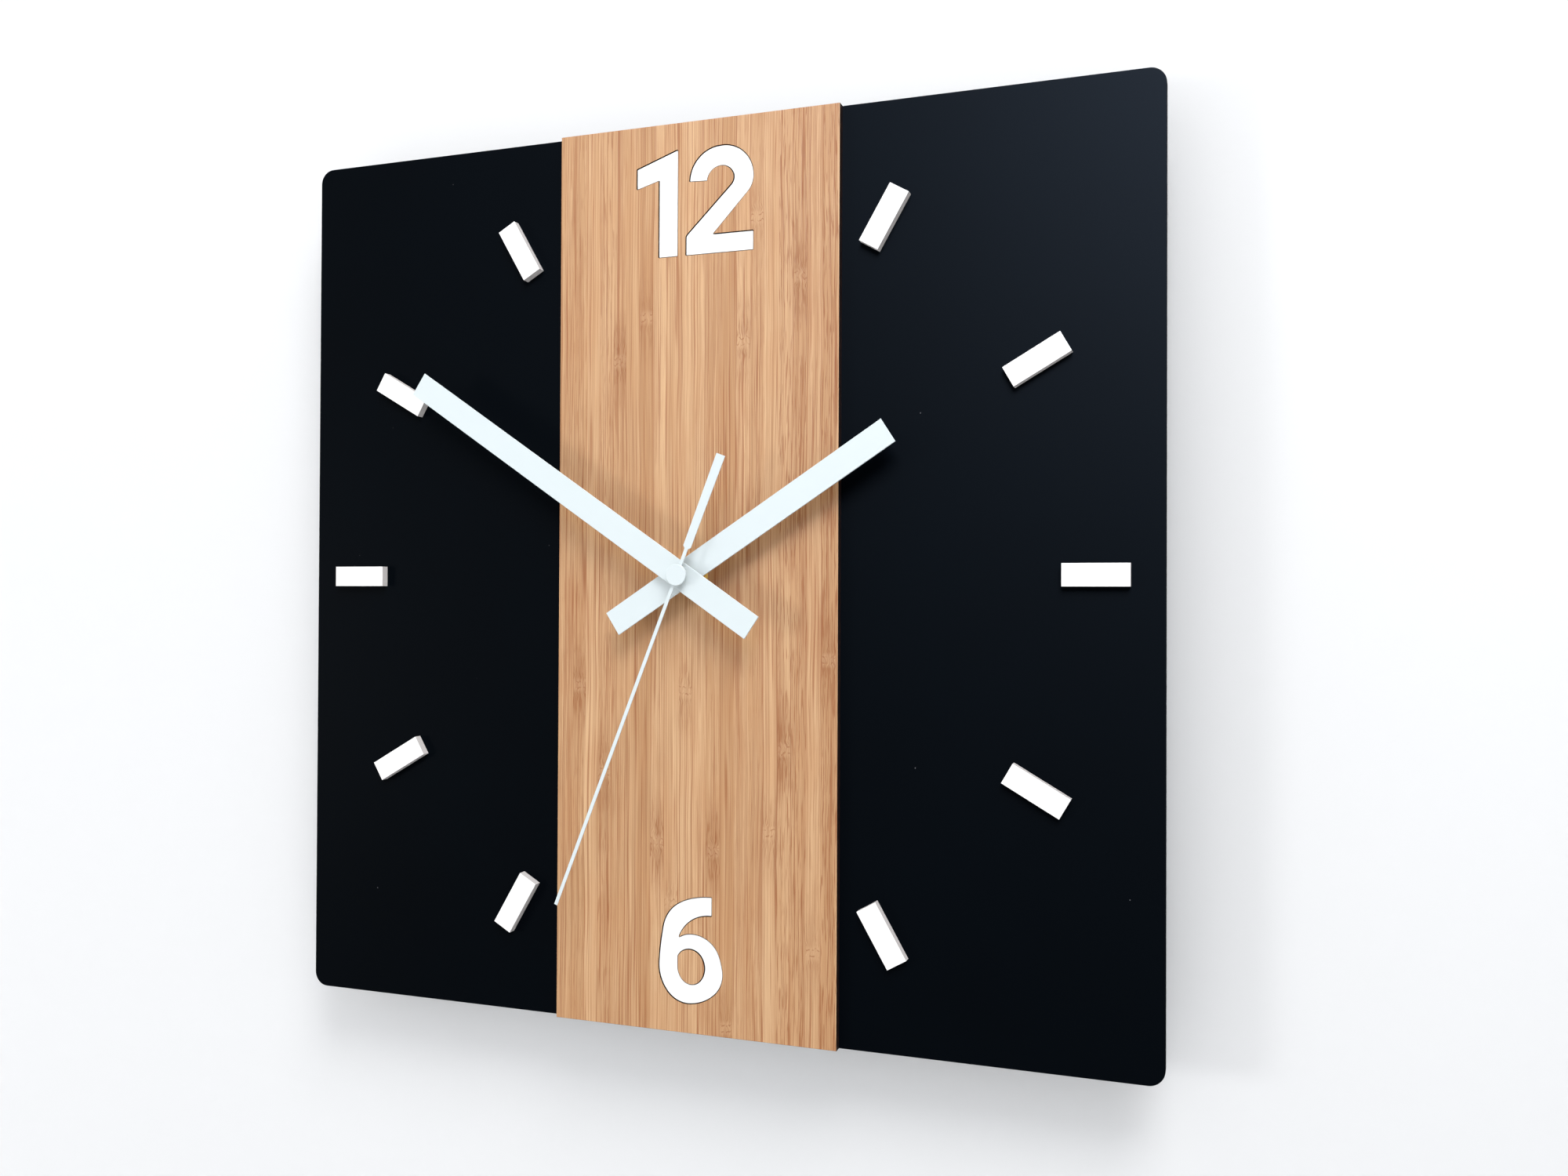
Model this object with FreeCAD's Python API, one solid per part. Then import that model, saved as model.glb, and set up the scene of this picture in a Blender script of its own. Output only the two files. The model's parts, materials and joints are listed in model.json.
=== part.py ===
"""Square wall clock with a bamboo strip, white markers and a battery quartz movement.

Everything is drawn in the dial's own frame, in millimetres: the origin is the centre of
the dial plate's front face, +X is right, +Y goes back towards the wall and +Z is up.
save() then shifts each piece so that the part's origin is the centre of the hanger's
keyhole. Angles are clock angles: degrees clockwise from twelve, seen from the front.
"""
import FreeCAD, Part
import math
import os

# ---------------------------------------------------------------- dial
PLATE_SIZE = 300.0
PLATE_THICK = 3.0
PLATE_CORNER = 5.0
STRIP_WIDTH = 99.2
STRIP_THICK = 3.0
STRIP_SHIFT = 1.0            # the strip is glued slightly right of the shaft
SHAFT_HOLE = 4.1             # radius of the hole for the threaded bush
EDGE_SOFT = 0.2              # softened edge of the laser-cut boards

MARKER_LONG = 20.0
MARKER_WIDE = 7.0
MARKER_THICK = 3.0
MARKER_RADIUS = 130.0        # from the shaft to a marker's middle
MARKER_HOURS = (1, 2, 3, 4, 5, 7, 8, 9, 10, 11)

KERF = 0.30                  # gap between an inlay and its cut-out
INLAY_SINK = 0.3             # how far the inlays lie below the strip's face
NUMERAL_ROUND = 0.45         # rounding of the numerals' outer corners

# ---------------------------------------------------------------- hands
HOUR_AT = 57.0               # where the hands point at rest
MINUTE_AT = 304.0
SECOND_AT = 201.5
HAND_WIDE = 8.5
HAND_THICK = 0.5
HOUR_REACH, HOUR_TAIL = 81.6, 29.5
MINUTE_REACH, MINUTE_TAIL = 119.0, 30.0
SECOND_REACH, SECOND_TAIL = 117.0, 41.0
SECOND_WIDE = 1.15
SECOND_THICK = 0.3
SECOND_EYE = 2.45            # radius of the disc round the second hand's hole
COUNTER_FROM = 9.0           # the second hand's tail widens from here
COUNTER_SLOPE = 0.7          # length of the sloping shoulders
COUNTER_ROOT = 2.7           # width behind the shoulders
COUNTER_WIDE = 3.1           # width at the end
CAP_RADIUS = 3.5
CAP_ROUND = 0.25
CAP_FLOOR = 0.4

# depths along Y, from the front to the wall
CAP_FRONT = -15.3
SECOND_HAND_FRONT = -14.35
SECOND_HUB_BACK = -13.1
MINUTE_PIPE_FRONT = -12.8
MINUTE_HAND_FRONT = -12.5
MINUTE_COLLET_BACK = -11.0
HOUR_PIPE_FRONT = -10.5
HOUR_HAND_FRONT = -10.2
HOUR_COLLET_BACK = -8.6
BUSH_TIP = -7.5
NUT_FRONT = -5.9
WASHER_FRONT = -3.4
STRIP_FRONT = -STRIP_THICK
PLATE_BACK = PLATE_THICK
COVER_FRONT = 4.0
COVER_BACK = 5.5
BACK_PANEL_INNER = 18.8
CASE_BACK = 20.0
WALL = 21.0                  # plane of the wall, touched by the spacers and the hanger

# ---------------------------------------------------------------- fits
RUN = 0.1                    # radial clearance of a large running fit
PIVOT_RUN = 0.05             # radial clearance of a pivot in its hole

# ---------------------------------------------------------------- shaft group
SECOND_ARBOR = 0.5           # radii
MINUTE_BORE = 0.6
MINUTE_PIPE = 1.7
HOUR_BORE = MINUTE_PIPE + RUN
HOUR_PIPE = 2.5
BUSH_BORE = HOUR_PIPE + RUN
BUSH_THREAD = 4.0
THREAD_PITCH = 0.75
THREAD_DEEP = 0.35
THREAD_TURNS = 2             # turns in front of the nut
BUSH_FLANGE = 5.5
FLANGE_THICK = 1.0
NUT_FLATS = 10.0
NUT_TURN = 30.0              # a corner points at three
NUT_CHAMFER = 30.0           # angle of the front chamfer
WASHER_RADIUS = 6.2
GASKET_RADIUS = 12.0
COLLET_WALL = 1.1
PIPE_PLAY = 0.3              # axial play behind the minute pipe

# ---------------------------------------------------------------- movement case
CASE_HALF = 28.0
CASE_CORNER = 3.0
CASE_BACK_ROUND = 0.8
CASE_WALL = 1.2
WORKS_BOTTOM = -11.2         # floor of the works, above the battery bay
BAY_HALF = 27.0
BAY_TOP = -12.1
BAY_BOTTOM = -26.8
BAY_FLOOR = 5.0
CELL_RADIUS = 7.1
CELL_BODY_LEFT, CELL_BODY_RIGHT, CELL_NUB_RIGHT = -24.6, 24.6, 25.9
CELL_NUB = 2.75
CELL_ROUND = 0.6
CELL_Y, CELL_Z = 12.3, -19.4

# ---------------------------------------------------------------- gear train
WHEEL_THICK = 0.8
ADDENDUM, DEDENDUM = 0.85, 1.15            # in modules
ROOT_SHARE, PITCH_SHARE, TIP_SHARE = 0.52, 0.38, 0.16   # tooth width over pitch

ROTOR_TEETH, INTERMEDIATE_TEETH = 10, 50
INTERMEDIATE_LEAVES, SECOND_TEETH = 10, 60
SECOND_LEAVES, THIRD_TEETH = 8, 60
THIRD_LEAVES, MINUTE_TEETH = 8, 64
MINUTE_LEAVES, REVERSE_TEETH = 10, 30
REVERSE_LEAVES, HOUR_TEETH = 8, 32
SETTING_TEETH = 12

THIRD_FROM_SHAFT = 12.0
THIRD_MODULE = 2 * THIRD_FROM_SHAFT / (SECOND_LEAVES + THIRD_TEETH)
MINUTE_MODULE = 2 * THIRD_FROM_SHAFT / (THIRD_LEAVES + MINUTE_TEETH)
SECOND_MODULE = 0.3
ROTOR_MODULE = 0.25
MOTION_MODULE = 0.45

THIRD_WAY = 70.0             # clock angle from the shaft to each arbor
INTERMEDIATE_WAY = 300.0
ROTOR_WAY = 350.0            # from the intermediate arbor to the rotor
MOTION_WAY = 270.0           # shaft to reverse wheel, and on to the setting arbor

# depths of the train, from the front to the back
HOUR_WHEEL_Y = 5.9
MINUTE_LEAVES_Y = 7.3
REVERSE_WHEEL_Y = 7.5
THIRD_LEAVES_Y = 8.6
MINUTE_WHEEL_Y = 8.9
SECOND_LEAVES_Y = 10.1
MAIN_PLATE_Y = 10.3
THIRD_WHEEL_Y = 10.5
STATOR_Y = 11.3
INTERMEDIATE_LEAVES_Y = 11.6
SECOND_WHEEL_Y = 11.8
INTERMEDIATE_WHEEL_Y = 13.2
BRIDGE_Y = 14.6
PLATE_SHEET = 1.0            # thickness of the main plate and the bridge
PIVOT = 0.4                  # pivot radius
PIVOT_END = BRIDGE_Y + 0.7
HUB = 1.6                    # radius of the second wheel's hub
HUB_PLAY = 0.6               # from that hub to the bridge
ROTOR_SHOULDER_Y = 10.2
ROTOR_LEAVES_Y, ROTOR_LEAVES_END = 12.9, 14.3
ROTOR_PIVOT_Y, INTERMEDIATE_PIVOT_Y, THIRD_PIVOT_Y = 7.9, 10.5, 6.2
MINUTE_LEAVES_END = 8.5
HOUR_WHEEL_THICK = 1.0
SETTING_LEAVES_END = 8.5

# ---------------------------------------------------------------- hanger and spacers
HANGER_THICK = 1.0
HANGER_HALF = 12.0
HANGER_LOW = 19.5
KEYHOLE_RADIUS = 4.0
KEYHOLE_Z = 37.0
NAIL_SLOT_HALF = 1.8
NAIL_SLOT_RISE = 5.2
SPACER_RADIUS = 6.0
SPACER_ROUND = 0.5
SPACER_FROM_EDGE = 22.0

ORIGIN = FreeCAD.Vector(0, WALL - HANGER_THICK / 2, KEYHOLE_Z)
BACKWARDS = FreeCAD.Vector(0, 1, 0)


# ---------------------------------------------------------------- small tools
def save(name, shape):
    """Export one node, moved to the part's frame."""
    moved = shape.copy()
    moved.translate(-ORIGIN)
    moved.exportStep("parts/" + name + ".step")


def joined(shape, *others):
    for other in others:
        shape = shape.fuse(other)
    return shape.removeSplitter()


def cut(shape, *others):
    for other in others:
        shape = shape.cut(other)
    return shape


def block(x0, x1, y0, y1, z0, z1):
    corner = FreeCAD.Vector(x0, y0, z0)
    return Part.makeBox(x1 - x0, y1 - y0, z1 - z0, corner)


def rod(radius, y0, y1, centre=(0, 0)):
    """A cylinder along Y."""
    start = FreeCAD.Vector(centre[0], y0, centre[1])
    return Part.makeCylinder(radius, y1 - y0, start, BACKWARDS)


def rod_x(radius, x0, x1, y, z):
    """A cylinder along X."""
    return Part.makeCylinder(radius, x1 - x0, FreeCAD.Vector(x0, y, z), FreeCAD.Vector(1, 0, 0))


def tube(outer, inner, y0, y1, centre=(0, 0)):
    return rod(outer, y0, y1, centre).cut(rod(inner, y0, y1, centre))


def polar(radius, angle, centre=(0, 0)):
    """The point at a clock angle and radius from a centre."""
    turn = math.radians(angle)
    return centre[0] + radius * math.sin(turn), centre[1] + radius * math.cos(turn)


def prism(points, y0, y1):
    """A polygon of (x, z) points, as thick as y0 to y1."""
    corners = [FreeCAD.Vector(x, y0, z) for x, z in points]
    face = Part.Face(Part.makePolygon(corners + corners[:1]))
    return face.extrude(FreeCAD.Vector(0, y1 - y0, 0))


def turned(shape, angle):
    """The shape turned about the shaft, clockwise from the front."""
    copy = shape.copy()
    copy.rotate(FreeCAD.Vector(0, 0, 0), BACKWARDS, angle)
    return copy


def edges_at_y(shape, y):
    """The edges that lie wholly at one depth."""
    return [e for e in shape.Edges if e.BoundBox.YMin > y - 1e-4 and e.BoundBox.YMax < y + 1e-4]


def edges_along_y(shape):
    return [e for e in shape.Edges if e.BoundBox.XLength < 1e-4 and e.BoundBox.ZLength < 1e-4]


def soft_front(shape, y, radius):
    return shape.makeFillet(radius, edges_at_y(shape, y))


# ---------------------------------------------------------------- gears
def gear(teeth, module, y0, y1, phase, centre=(0, 0)):
    """A toothed disc. One tooth points at the clock angle given by phase."""
    pitch_radius = module * teeth / 2
    root = pitch_radius - DEDENDUM * module
    tip = pitch_radius + ADDENDUM * module
    step = 360.0 / teeth
    flank = ((root, ROOT_SHARE), (pitch_radius, PITCH_SHARE), (tip, TIP_SHARE))
    points = []
    for tooth in range(teeth):
        middle = phase + tooth * step
        points += [polar(r, middle - share * step / 2, centre) for r, share in flank]
        points += [polar(r, middle + share * step / 2, centre) for r, share in reversed(flank)]
    return prism(points, y0, y1)


def meshing_phase(teeth, phase, other_teeth, way):
    """Phase that puts a gap of the other gear opposite a tooth, way degrees from this one."""
    past_tooth = ((way - phase) * teeth / 360.0) % 1
    return way + 180 - (0.5 - past_tooth) * 360.0 / other_teeth


# ---------------------------------------------------------------- numerals
def onward(*ends):
    """Arc steps that each leave along the step before."""
    return [(end,) for end in ends]


def halfway(last, here, end):
    """The middle of the arc to end that leaves here along the last curve."""
    heading = last.tangent(last.LastParameter)[0]
    chord = end - here
    toward = chord * (1 / chord.Length)
    forward = heading.dot(toward)
    sideways = heading - toward * forward
    return (here + end + sideways * (chord.Length / (1 + forward))) * 0.5


def outline(start, *steps):
    """A face from straight steps (x, z), arc steps ((x, z) halfway, (x, z) end) and onward steps."""
    here, curves = FreeCAD.Vector(start[0], STRIP_FRONT, start[1]), []
    for step in steps:
        straight = not isinstance(step[0], tuple)
        points = [FreeCAD.Vector(x, STRIP_FRONT, z) for x, z in ((step,) if straight else step)]
        if len(step) == 1:
            points.insert(0, halfway(curves[-1], here, points[0]))
        curves.append(Part.LineSegment(here, *points) if straight else Part.Arc(here, *points))
        here = points[-1]
    return Part.Face(Part.Wire([curve.toShape() for curve in curves]))


def rounded(face):
    """The face with its outward corners rounded."""
    return face.makeOffset2D(-NUMERAL_ROUND).makeOffset2D(NUMERAL_ROUND)


def numeral_one():
    return rounded(outline(
        (-12.2, 105.6), (-12.2, 131.3), (-20.3, 129.0), (-20.3, 136.1),
        (-5.8, 141.1), (-5.1, 141.1), (-5.1, 105.6), (-12.2, 105.6)))


def numeral_two():
    return rounded(outline(
        (-2.4, 105.6), (-2.4, 111.8), ((-2.1, 112.4), (-1.6, 113.0)), (13.5, 127.8),
        *onward((14.2, 131.6), (9.8, 134.2), (5.3, 129.6)), (-1.2, 129.9),
        ((1.9, 137.6), (9.9, 141.1)), ((18.7, 137.6), (21.6, 130.6)),
        ((21.2, 127.6), (19.6, 124.9)), (7.6, 112.2), (21.6, 112.2), (21.6, 105.6), (-2.4, 105.6)))


def numeral_six():
    return rounded(outline(
        (8.2, -104.9), (8.2, -111.4), ((1.3, -113.0), (-3.4, -118.7)), ((-1.1, -117.7), (1.3, -117.4)),
        *onward((7.5, -119.5), (10.7, -123.7), (12.0, -128.6), (8.8, -137.1), (0.6, -140.5),
                (-7.5, -137.2), (-10.8, -127.6), (-9.3, -115.4), (-3.5, -107.5), (1.9, -105.5),
                (8.2, -104.9))))


def six_counter():
    """The bamboo island inside the six."""
    return outline(
        (-3.8, -125.2), ((-3.1, -124.1), (-2.1, -123.3)),
        *onward((0.8, -122.7), (4.2, -124.6), (5.5, -128.2), (4.1, -132.4), (0.8, -133.9),
                (-2.5, -132.2), (-3.8, -128.4)),
        (-3.8, -125.2))


def through_strip(face):
    return face.extrude(FreeCAD.Vector(0, STRIP_THICK, 0))


def inlay(face):
    """A numeral standing on the dial plate, with a thin gap to the bamboo round it."""
    sunk = face.makeOffset2D(-KERF)
    sunk.translate(FreeCAD.Vector(0, INLAY_SINK, 0))
    return sunk.extrude(FreeCAD.Vector(0, STRIP_THICK - INLAY_SINK, 0))


# ---------------------------------------------------------------- dial pieces
def face_panel():
    half = PLATE_SIZE / 2
    plate = block(-half, half, 0, PLATE_BACK, -half, half)
    plate = plate.makeFillet(PLATE_CORNER, edges_along_y(plate))
    plate = soft_front(plate, 0, EDGE_SOFT)
    return plate.cut(rod(SHAFT_HOLE, 0, PLATE_BACK))


def bamboo_strip(holes):
    half = STRIP_WIDTH / 2
    strip = block(STRIP_SHIFT - half, STRIP_SHIFT + half, STRIP_FRONT, 0,
                  -PLATE_SIZE / 2, PLATE_SIZE / 2)
    strip = soft_front(strip, STRIP_FRONT, EDGE_SOFT)
    return cut(strip, rod(SHAFT_HOLE, STRIP_FRONT, 0), *holes)


def hour_marker(hour):
    bar = block(-MARKER_WIDE / 2, MARKER_WIDE / 2, -MARKER_THICK, 0,
                MARKER_RADIUS - MARKER_LONG / 2, MARKER_RADIUS + MARKER_LONG / 2)
    return turned(soft_front(bar, -MARKER_THICK, EDGE_SOFT / 2), hour * 30)


# ---------------------------------------------------------------- hands
def baton(reach, tail, wide, front, thick, bore):
    """A flat hand with square ends, drawn pointing at twelve."""
    blade = block(-wide / 2, wide / 2, front, front + thick, -tail, reach)
    blade = soft_front(blade, front, thick / 4)
    return blade.cut(rod(bore, front, front + thick))


def second_hand():
    """A needle whose tail widens, past short sloping shoulders, into a counterweight."""
    needle, root, end = SECOND_WIDE / 2, COUNTER_ROOT / 2, COUNTER_WIDE / 2
    right = [(needle, SECOND_REACH), (needle, -COUNTER_FROM),
             (root, -COUNTER_FROM - COUNTER_SLOPE), (end, -SECOND_TAIL)]
    left = [(-x, z) for x, z in reversed(right)]
    back = SECOND_HAND_FRONT + SECOND_THICK
    hand = joined(prism(right + left, SECOND_HAND_FRONT, back), rod(SECOND_EYE, SECOND_HAND_FRONT, back))
    return hand.cut(rod(SECOND_ARBOR, SECOND_HAND_FRONT, back))


def second_cap():
    cap = rod(CAP_RADIUS, CAP_FRONT, SECOND_HAND_FRONT)
    cap = soft_front(cap, CAP_FRONT, CAP_ROUND)
    return cap.cut(rod(SECOND_ARBOR, CAP_FRONT + CAP_FLOOR, SECOND_HAND_FRONT))


def collet(bore, front, back):
    return tube(bore + COLLET_WALL, bore, front, back)


# ---------------------------------------------------------------- shaft fixings
def threaded_bush():
    """Brass bush; its thread is drawn as closed grooves, one per pitch."""
    flange_front = COVER_BACK - FLANGE_THICK
    barrel = rod(BUSH_THREAD, BUSH_TIP, flange_front)
    bush = joined(barrel, rod(BUSH_FLANGE, flange_front, COVER_BACK))
    rim, root = BUSH_THREAD + 0.01, BUSH_THREAD - THREAD_DEEP
    grooves = []
    for turn in range(THREAD_TURNS):
        middle = BUSH_TIP + (turn + 0.5) * THREAD_PITCH
        section = [FreeCAD.Vector(rim, middle - THREAD_DEEP, 0), FreeCAD.Vector(root, middle, 0),
                   FreeCAD.Vector(rim, middle + THREAD_DEEP, 0)]
        ring = Part.Face(Part.makePolygon(section + section[:1]))
        grooves.append(ring.revolve(FreeCAD.Vector(0, 0, 0), BACKWARDS, 360))
    return cut(bush, rod(BUSH_BORE, BUSH_TIP, COVER_BACK), *grooves)


def hex_nut():
    corner = NUT_FLATS / math.sqrt(3)
    thick = WASHER_FRONT - NUT_FRONT
    nut = prism([polar(corner, NUT_TURN + 60 * k) for k in range(6)], NUT_FRONT, WASHER_FRONT)
    widened = NUT_FLATS / 2 + thick / math.tan(math.radians(NUT_CHAMFER))
    chamfer = Part.makeCone(NUT_FLATS / 2, widened, thick, FreeCAD.Vector(0, NUT_FRONT, 0), BACKWARDS)
    return nut.common(chamfer).cut(rod(BUSH_THREAD, NUT_FRONT, WASHER_FRONT))


def brass_washer():
    washer = rod(WASHER_RADIUS, WASHER_FRONT, STRIP_FRONT)
    washer = soft_front(washer, WASHER_FRONT, EDGE_SOFT / 2)
    return washer.cut(rod(SHAFT_HOLE, WASHER_FRONT, STRIP_FRONT))


# ---------------------------------------------------------------- places in the movement
SHAFT = (0.0, 0.0)
THIRD = polar(THIRD_FROM_SHAFT, THIRD_WAY)
INTERMEDIATE = polar(SECOND_MODULE * (INTERMEDIATE_LEAVES + SECOND_TEETH) / 2, INTERMEDIATE_WAY)
ROTOR = polar(ROTOR_MODULE * (ROTOR_TEETH + INTERMEDIATE_TEETH) / 2, ROTOR_WAY, INTERMEDIATE)
REVERSE = polar(MOTION_MODULE * (MINUTE_LEAVES + REVERSE_TEETH) / 2, MOTION_WAY)
SETTING = polar(MOTION_MODULE * (REVERSE_TEETH + SETTING_TEETH) / 2, MOTION_WAY, REVERSE)

COIL_Y, COIL_Z = 12.8, 21.5
COIL_LEFT, COIL_RIGHT = -19.0, -3.0
COIL_FLANGE, COIL_FLANGE_THICK = 4.4, 0.8
COIL_BARREL, COIL_WOUND = 2.2, 4.0
CORE_LEFT, CORE_RIGHT = -23.0, 1.0
CORE_HALF_HIGH = 1.3
STATOR_THICK = 1.0
STATOR_ARM = 3.5
STATOR_RING = 4.7
STATOR_BORE = 3.3
MAGNET_RADIUS = 2.9
MAGNET_BORE = 0.9
MAGNET_Y, MAGNET_END = 10.4, 12.7

KNOB_RADIUS = 5.0
KNOB_FRONT, KNOB_BACK = 16.8, 19.8
KNOB_CUP = 5.6
KNOB_CUP_WALL = 1.2
KNOB_CUP_FLOOR = 15.3
KNOB_ROUND = 0.4
KNOB_SKIN = 1.4              # plastic behind the blind hole for the arbor
FLUTES, FLUTE_RADIUS, FLUTE_OUT = 24, 0.45, 0.1
KNOB_GROOVE_LONG, KNOB_GROOVE_WIDE, KNOB_GROOVE_DEEP = 6.8, 1.2, 1.0
SETTING_ARBOR = 1.0
SETTING_ARBOR_Y = 5.2
REVERSE_STUB = 0.9

# bearing towers on the cover: centre, radius, end, start of the blind hole, radius of the pivot
TOWERS = ((THIRD, 1.4, 7.4, 6.0, PIVOT), (ROTOR, 1.4, 9.0, 7.6, PIVOT),
          (SETTING, 1.6, 6.6, 5.0, SETTING_ARBOR))
STUB_PLAY = 0.2
PLATE_POSTS = ((-24.5, 14.5), (-24.5, -8.0), (-2.0, 14.5))
BRIDGE_POSTS = ((-10.0, -8.8), (20.0, -8.0), (20.0, 15.0), (3.2, 15.2))
POST_ROOT, POST_WIDE, POST_SLIM = 1.4, 1.0, 0.6
PLATE_RIGHT, PLATE_TOP = 1.5, 16.8
THIRD_CLEAR = THIRD_MODULE * THIRD_TEETH / 2 + 1.0    # radii of the main plate's openings
SHAFT_CLEAR = 2.6
ROTOR_CLEAR = 3.6
BRIDGE_OUTLINE = ((-11.2, -9.8), (-11.2, 7.5), (-14.2, 10.0), (-14.2, 16.6),
                  (21.5, 16.6), (21.5, -9.8))
BOARD_BOSSES = ((-3.0, -5.0), (21.0, -5.0), (8.0, 10.0))
BOSS_RADIUS = 1.2

BOARD_Y = 16.2
BOARD_THICK = 0.8
BOARD_OUTLINE = ((-6, -9), (-6, 6), (4, 6), (4, 20.6), (14, 20.6), (14, 6), (24, 6), (24, -9))
LEAD_RADIUS = 0.12
LEADS_Z = (19.0, 20.0)
LEADS_END = 5.0
CHIP_RADIUS, CHIP_THICK, CHIP_AT = 3.0, 1.0, (10.0, 0.0)
CRYSTAL_RADIUS, CRYSTAL_LEFT, CRYSTAL_RIGHT, CRYSTAL_Z = 0.75, -1.0, 5.0, -3.0
CAPACITOR_LEFT, CAPACITOR_RIGHT, CAPACITOR_THICK = 15.0, 17.0, 0.8
CAPACITOR_LOW, CAPACITOR_TOP = 2.0, 3.2

# each battery contact is a bent strip: a spring in the bay, a strap through the case's slot
# and a tab on the board
CONTACT_THICK = 0.4
STRAP_Y = BOARD_Y + BOARD_THICK
SPRING_FRONT, SPRING_BACK = 7.0, 17.4
SPRING_LOW, SPRING_TOP = -25.0, -12.2
STRAP_FRONT, STRAP_LOW, STRAP_TOP = 15.0, -13.0, -7.9
TAB_LOW = -9.8
TAB_ENDS = {1: 22.5, -1: -4.0}
BUTTON_RADIUS = 2.0
LEAF_FRONT, LEAF_DEEP = 10.0, 4.6
LEAF_LOW, LEAF_TOP, LEAF_FOOT = -24.0, -14.2, 0.8
SLOT_FRONT, SLOT_BACK, SLOT_WIDE = 14.9, 17.5, 0.7

HANGER_STUDS = ((-7.0, 23.5), (7.0, 23.5))
STUD_RADIUS = 1.2


# ---------------------------------------------------------------- case and plates
def case_outside():
    shell = block(-CASE_HALF, CASE_HALF, COVER_FRONT, CASE_BACK, -CASE_HALF, CASE_HALF)
    shell = shell.makeFillet(CASE_CORNER, edges_along_y(shell))
    return shell.makeFillet(CASE_BACK_ROUND, edges_at_y(shell, CASE_BACK))


def movement_cover():
    """The front half of the works' housing, with the posts and pivots that it carries."""
    front = block(-CASE_HALF, CASE_HALF, COVER_FRONT, COVER_BACK, WORKS_BOTTOM, CASE_HALF)
    cover = case_outside().common(front)
    cover = cut(cover, rod(BUSH_THREAD, COVER_FRONT, COVER_BACK),
                rod(BUSH_FLANGE, COVER_BACK - FLANGE_THICK, COVER_BACK))
    for centre, radius, end, hole_start, pivot in TOWERS:
        cover = joined(cover, rod(radius, COVER_BACK, end, centre))
        cover = cover.cut(rod(pivot + PIVOT_RUN, hole_start, end, centre))
    posts = [rod(REVERSE_STUB, COVER_BACK, MINUTE_WHEEL_Y - STUB_PLAY, REVERSE)]
    for centre in PLATE_POSTS:
        posts.append(rod(POST_ROOT, COVER_BACK, MAIN_PLATE_Y, centre))
        posts.append(rod(POST_SLIM, MAIN_PLATE_Y, STATOR_Y, centre))
    for centre in BRIDGE_POSTS:
        posts.append(rod(POST_WIDE, COVER_BACK, BRIDGE_Y, centre))
        posts.append(rod(POST_SLIM, BRIDGE_Y, BRIDGE_Y + PLATE_SHEET, centre))
    return joined(cover, *posts)


def movement_case():
    """Rear shell: the works' cavity in front, the battery bay and the knob's cup behind."""
    inner = CASE_HALF - CASE_WALL
    shell = case_outside()
    shell = shell.cut(block(-CASE_HALF, CASE_HALF, COVER_FRONT, COVER_BACK, WORKS_BOTTOM, CASE_HALF))
    shell = shell.cut(block(-inner, inner, COVER_BACK, BACK_PANEL_INNER, WORKS_BOTTOM, inner))
    shell = shell.cut(block(-BAY_HALF, BAY_HALF, BAY_FLOOR, CASE_BACK, BAY_BOTTOM, BAY_TOP))
    cup = rod(KNOB_CUP + KNOB_CUP_WALL, KNOB_CUP_FLOOR, BACK_PANEL_INNER, SETTING)
    studs = [rod(STUD_RADIUS, CASE_BACK, WALL, stud) for stud in HANGER_STUDS]
    shell = joined(shell, cup, *studs)
    shell = shell.cut(rod(KNOB_CUP, KNOB_CUP_FLOOR + CASE_WALL, CASE_BACK, SETTING))
    shell = shell.cut(rod(SETTING_ARBOR + RUN, KNOB_CUP_FLOOR, CASE_BACK, SETTING))
    for side in (-1, 1):
        left, right = sorted((side * (inner - SLOT_WIDE), side * inner))
        shell = shell.cut(block(left, right, SLOT_FRONT, SLOT_BACK, BAY_TOP, WORKS_BOTTOM))
    return shell


def main_plate():
    plate = block(-CASE_HALF + CASE_WALL, PLATE_RIGHT, MAIN_PLATE_Y, STATOR_Y, WORKS_BOTTOM, PLATE_TOP)
    holes = [(THIRD, THIRD_CLEAR), (SHAFT, SHAFT_CLEAR), (ROTOR, ROTOR_CLEAR),
             (INTERMEDIATE, PIVOT + PIVOT_RUN), (SETTING, SETTING_ARBOR + RUN),
             (BRIDGE_POSTS[0], POST_WIDE)]
    holes += [(post, POST_SLIM) for post in PLATE_POSTS]
    return cut(plate, *[rod(r, MAIN_PLATE_Y, STATOR_Y, centre) for centre, r in holes])


def train_bridge():
    """Rear bearing plate of the train, with three bosses that carry the circuit board."""
    back = BRIDGE_Y + PLATE_SHEET
    bridge = prism(BRIDGE_OUTLINE, BRIDGE_Y, back)
    bosses = [rod(BOSS_RADIUS, back, BOARD_Y, centre) for centre in BOARD_BOSSES]
    bridge = joined(bridge, *bosses)
    holes = [(centre, PIVOT + PIVOT_RUN) for centre in (ROTOR, INTERMEDIATE, THIRD)]
    holes += [(SHAFT, SECOND_ARBOR + PIVOT_RUN)]
    holes += [(post, POST_SLIM) for post in BRIDGE_POSTS]
    return cut(bridge, *[rod(r, BRIDGE_Y, back, centre) for centre, r in holes])


# ---------------------------------------------------------------- motor and circuit
def stator():
    """One soft iron sheet: a ring round the rotor and two arms up to the coil's core."""
    y0, y1 = STATOR_Y, STATOR_Y + STATOR_THICK
    low, high = ROTOR[1] - 2.0, COIL_Z + CORE_HALF_HIGH
    sheet = joined(rod(STATOR_RING, y0, y1, ROTOR),
                   block(CORE_LEFT, CORE_RIGHT, y0, y1, low, low + 4.0),
                   block(CORE_LEFT, CORE_LEFT + STATOR_ARM, y0, y1, low, high),
                   block(CORE_RIGHT - STATOR_ARM, CORE_RIGHT, y0, y1, low, high))
    notches = [rod(0.5, y0, y1, polar(STATOR_BORE, way, ROTOR)) for way in (45, 225)]
    return cut(sheet, rod(STATOR_BORE, y0, y1, ROTOR), *notches)


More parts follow.
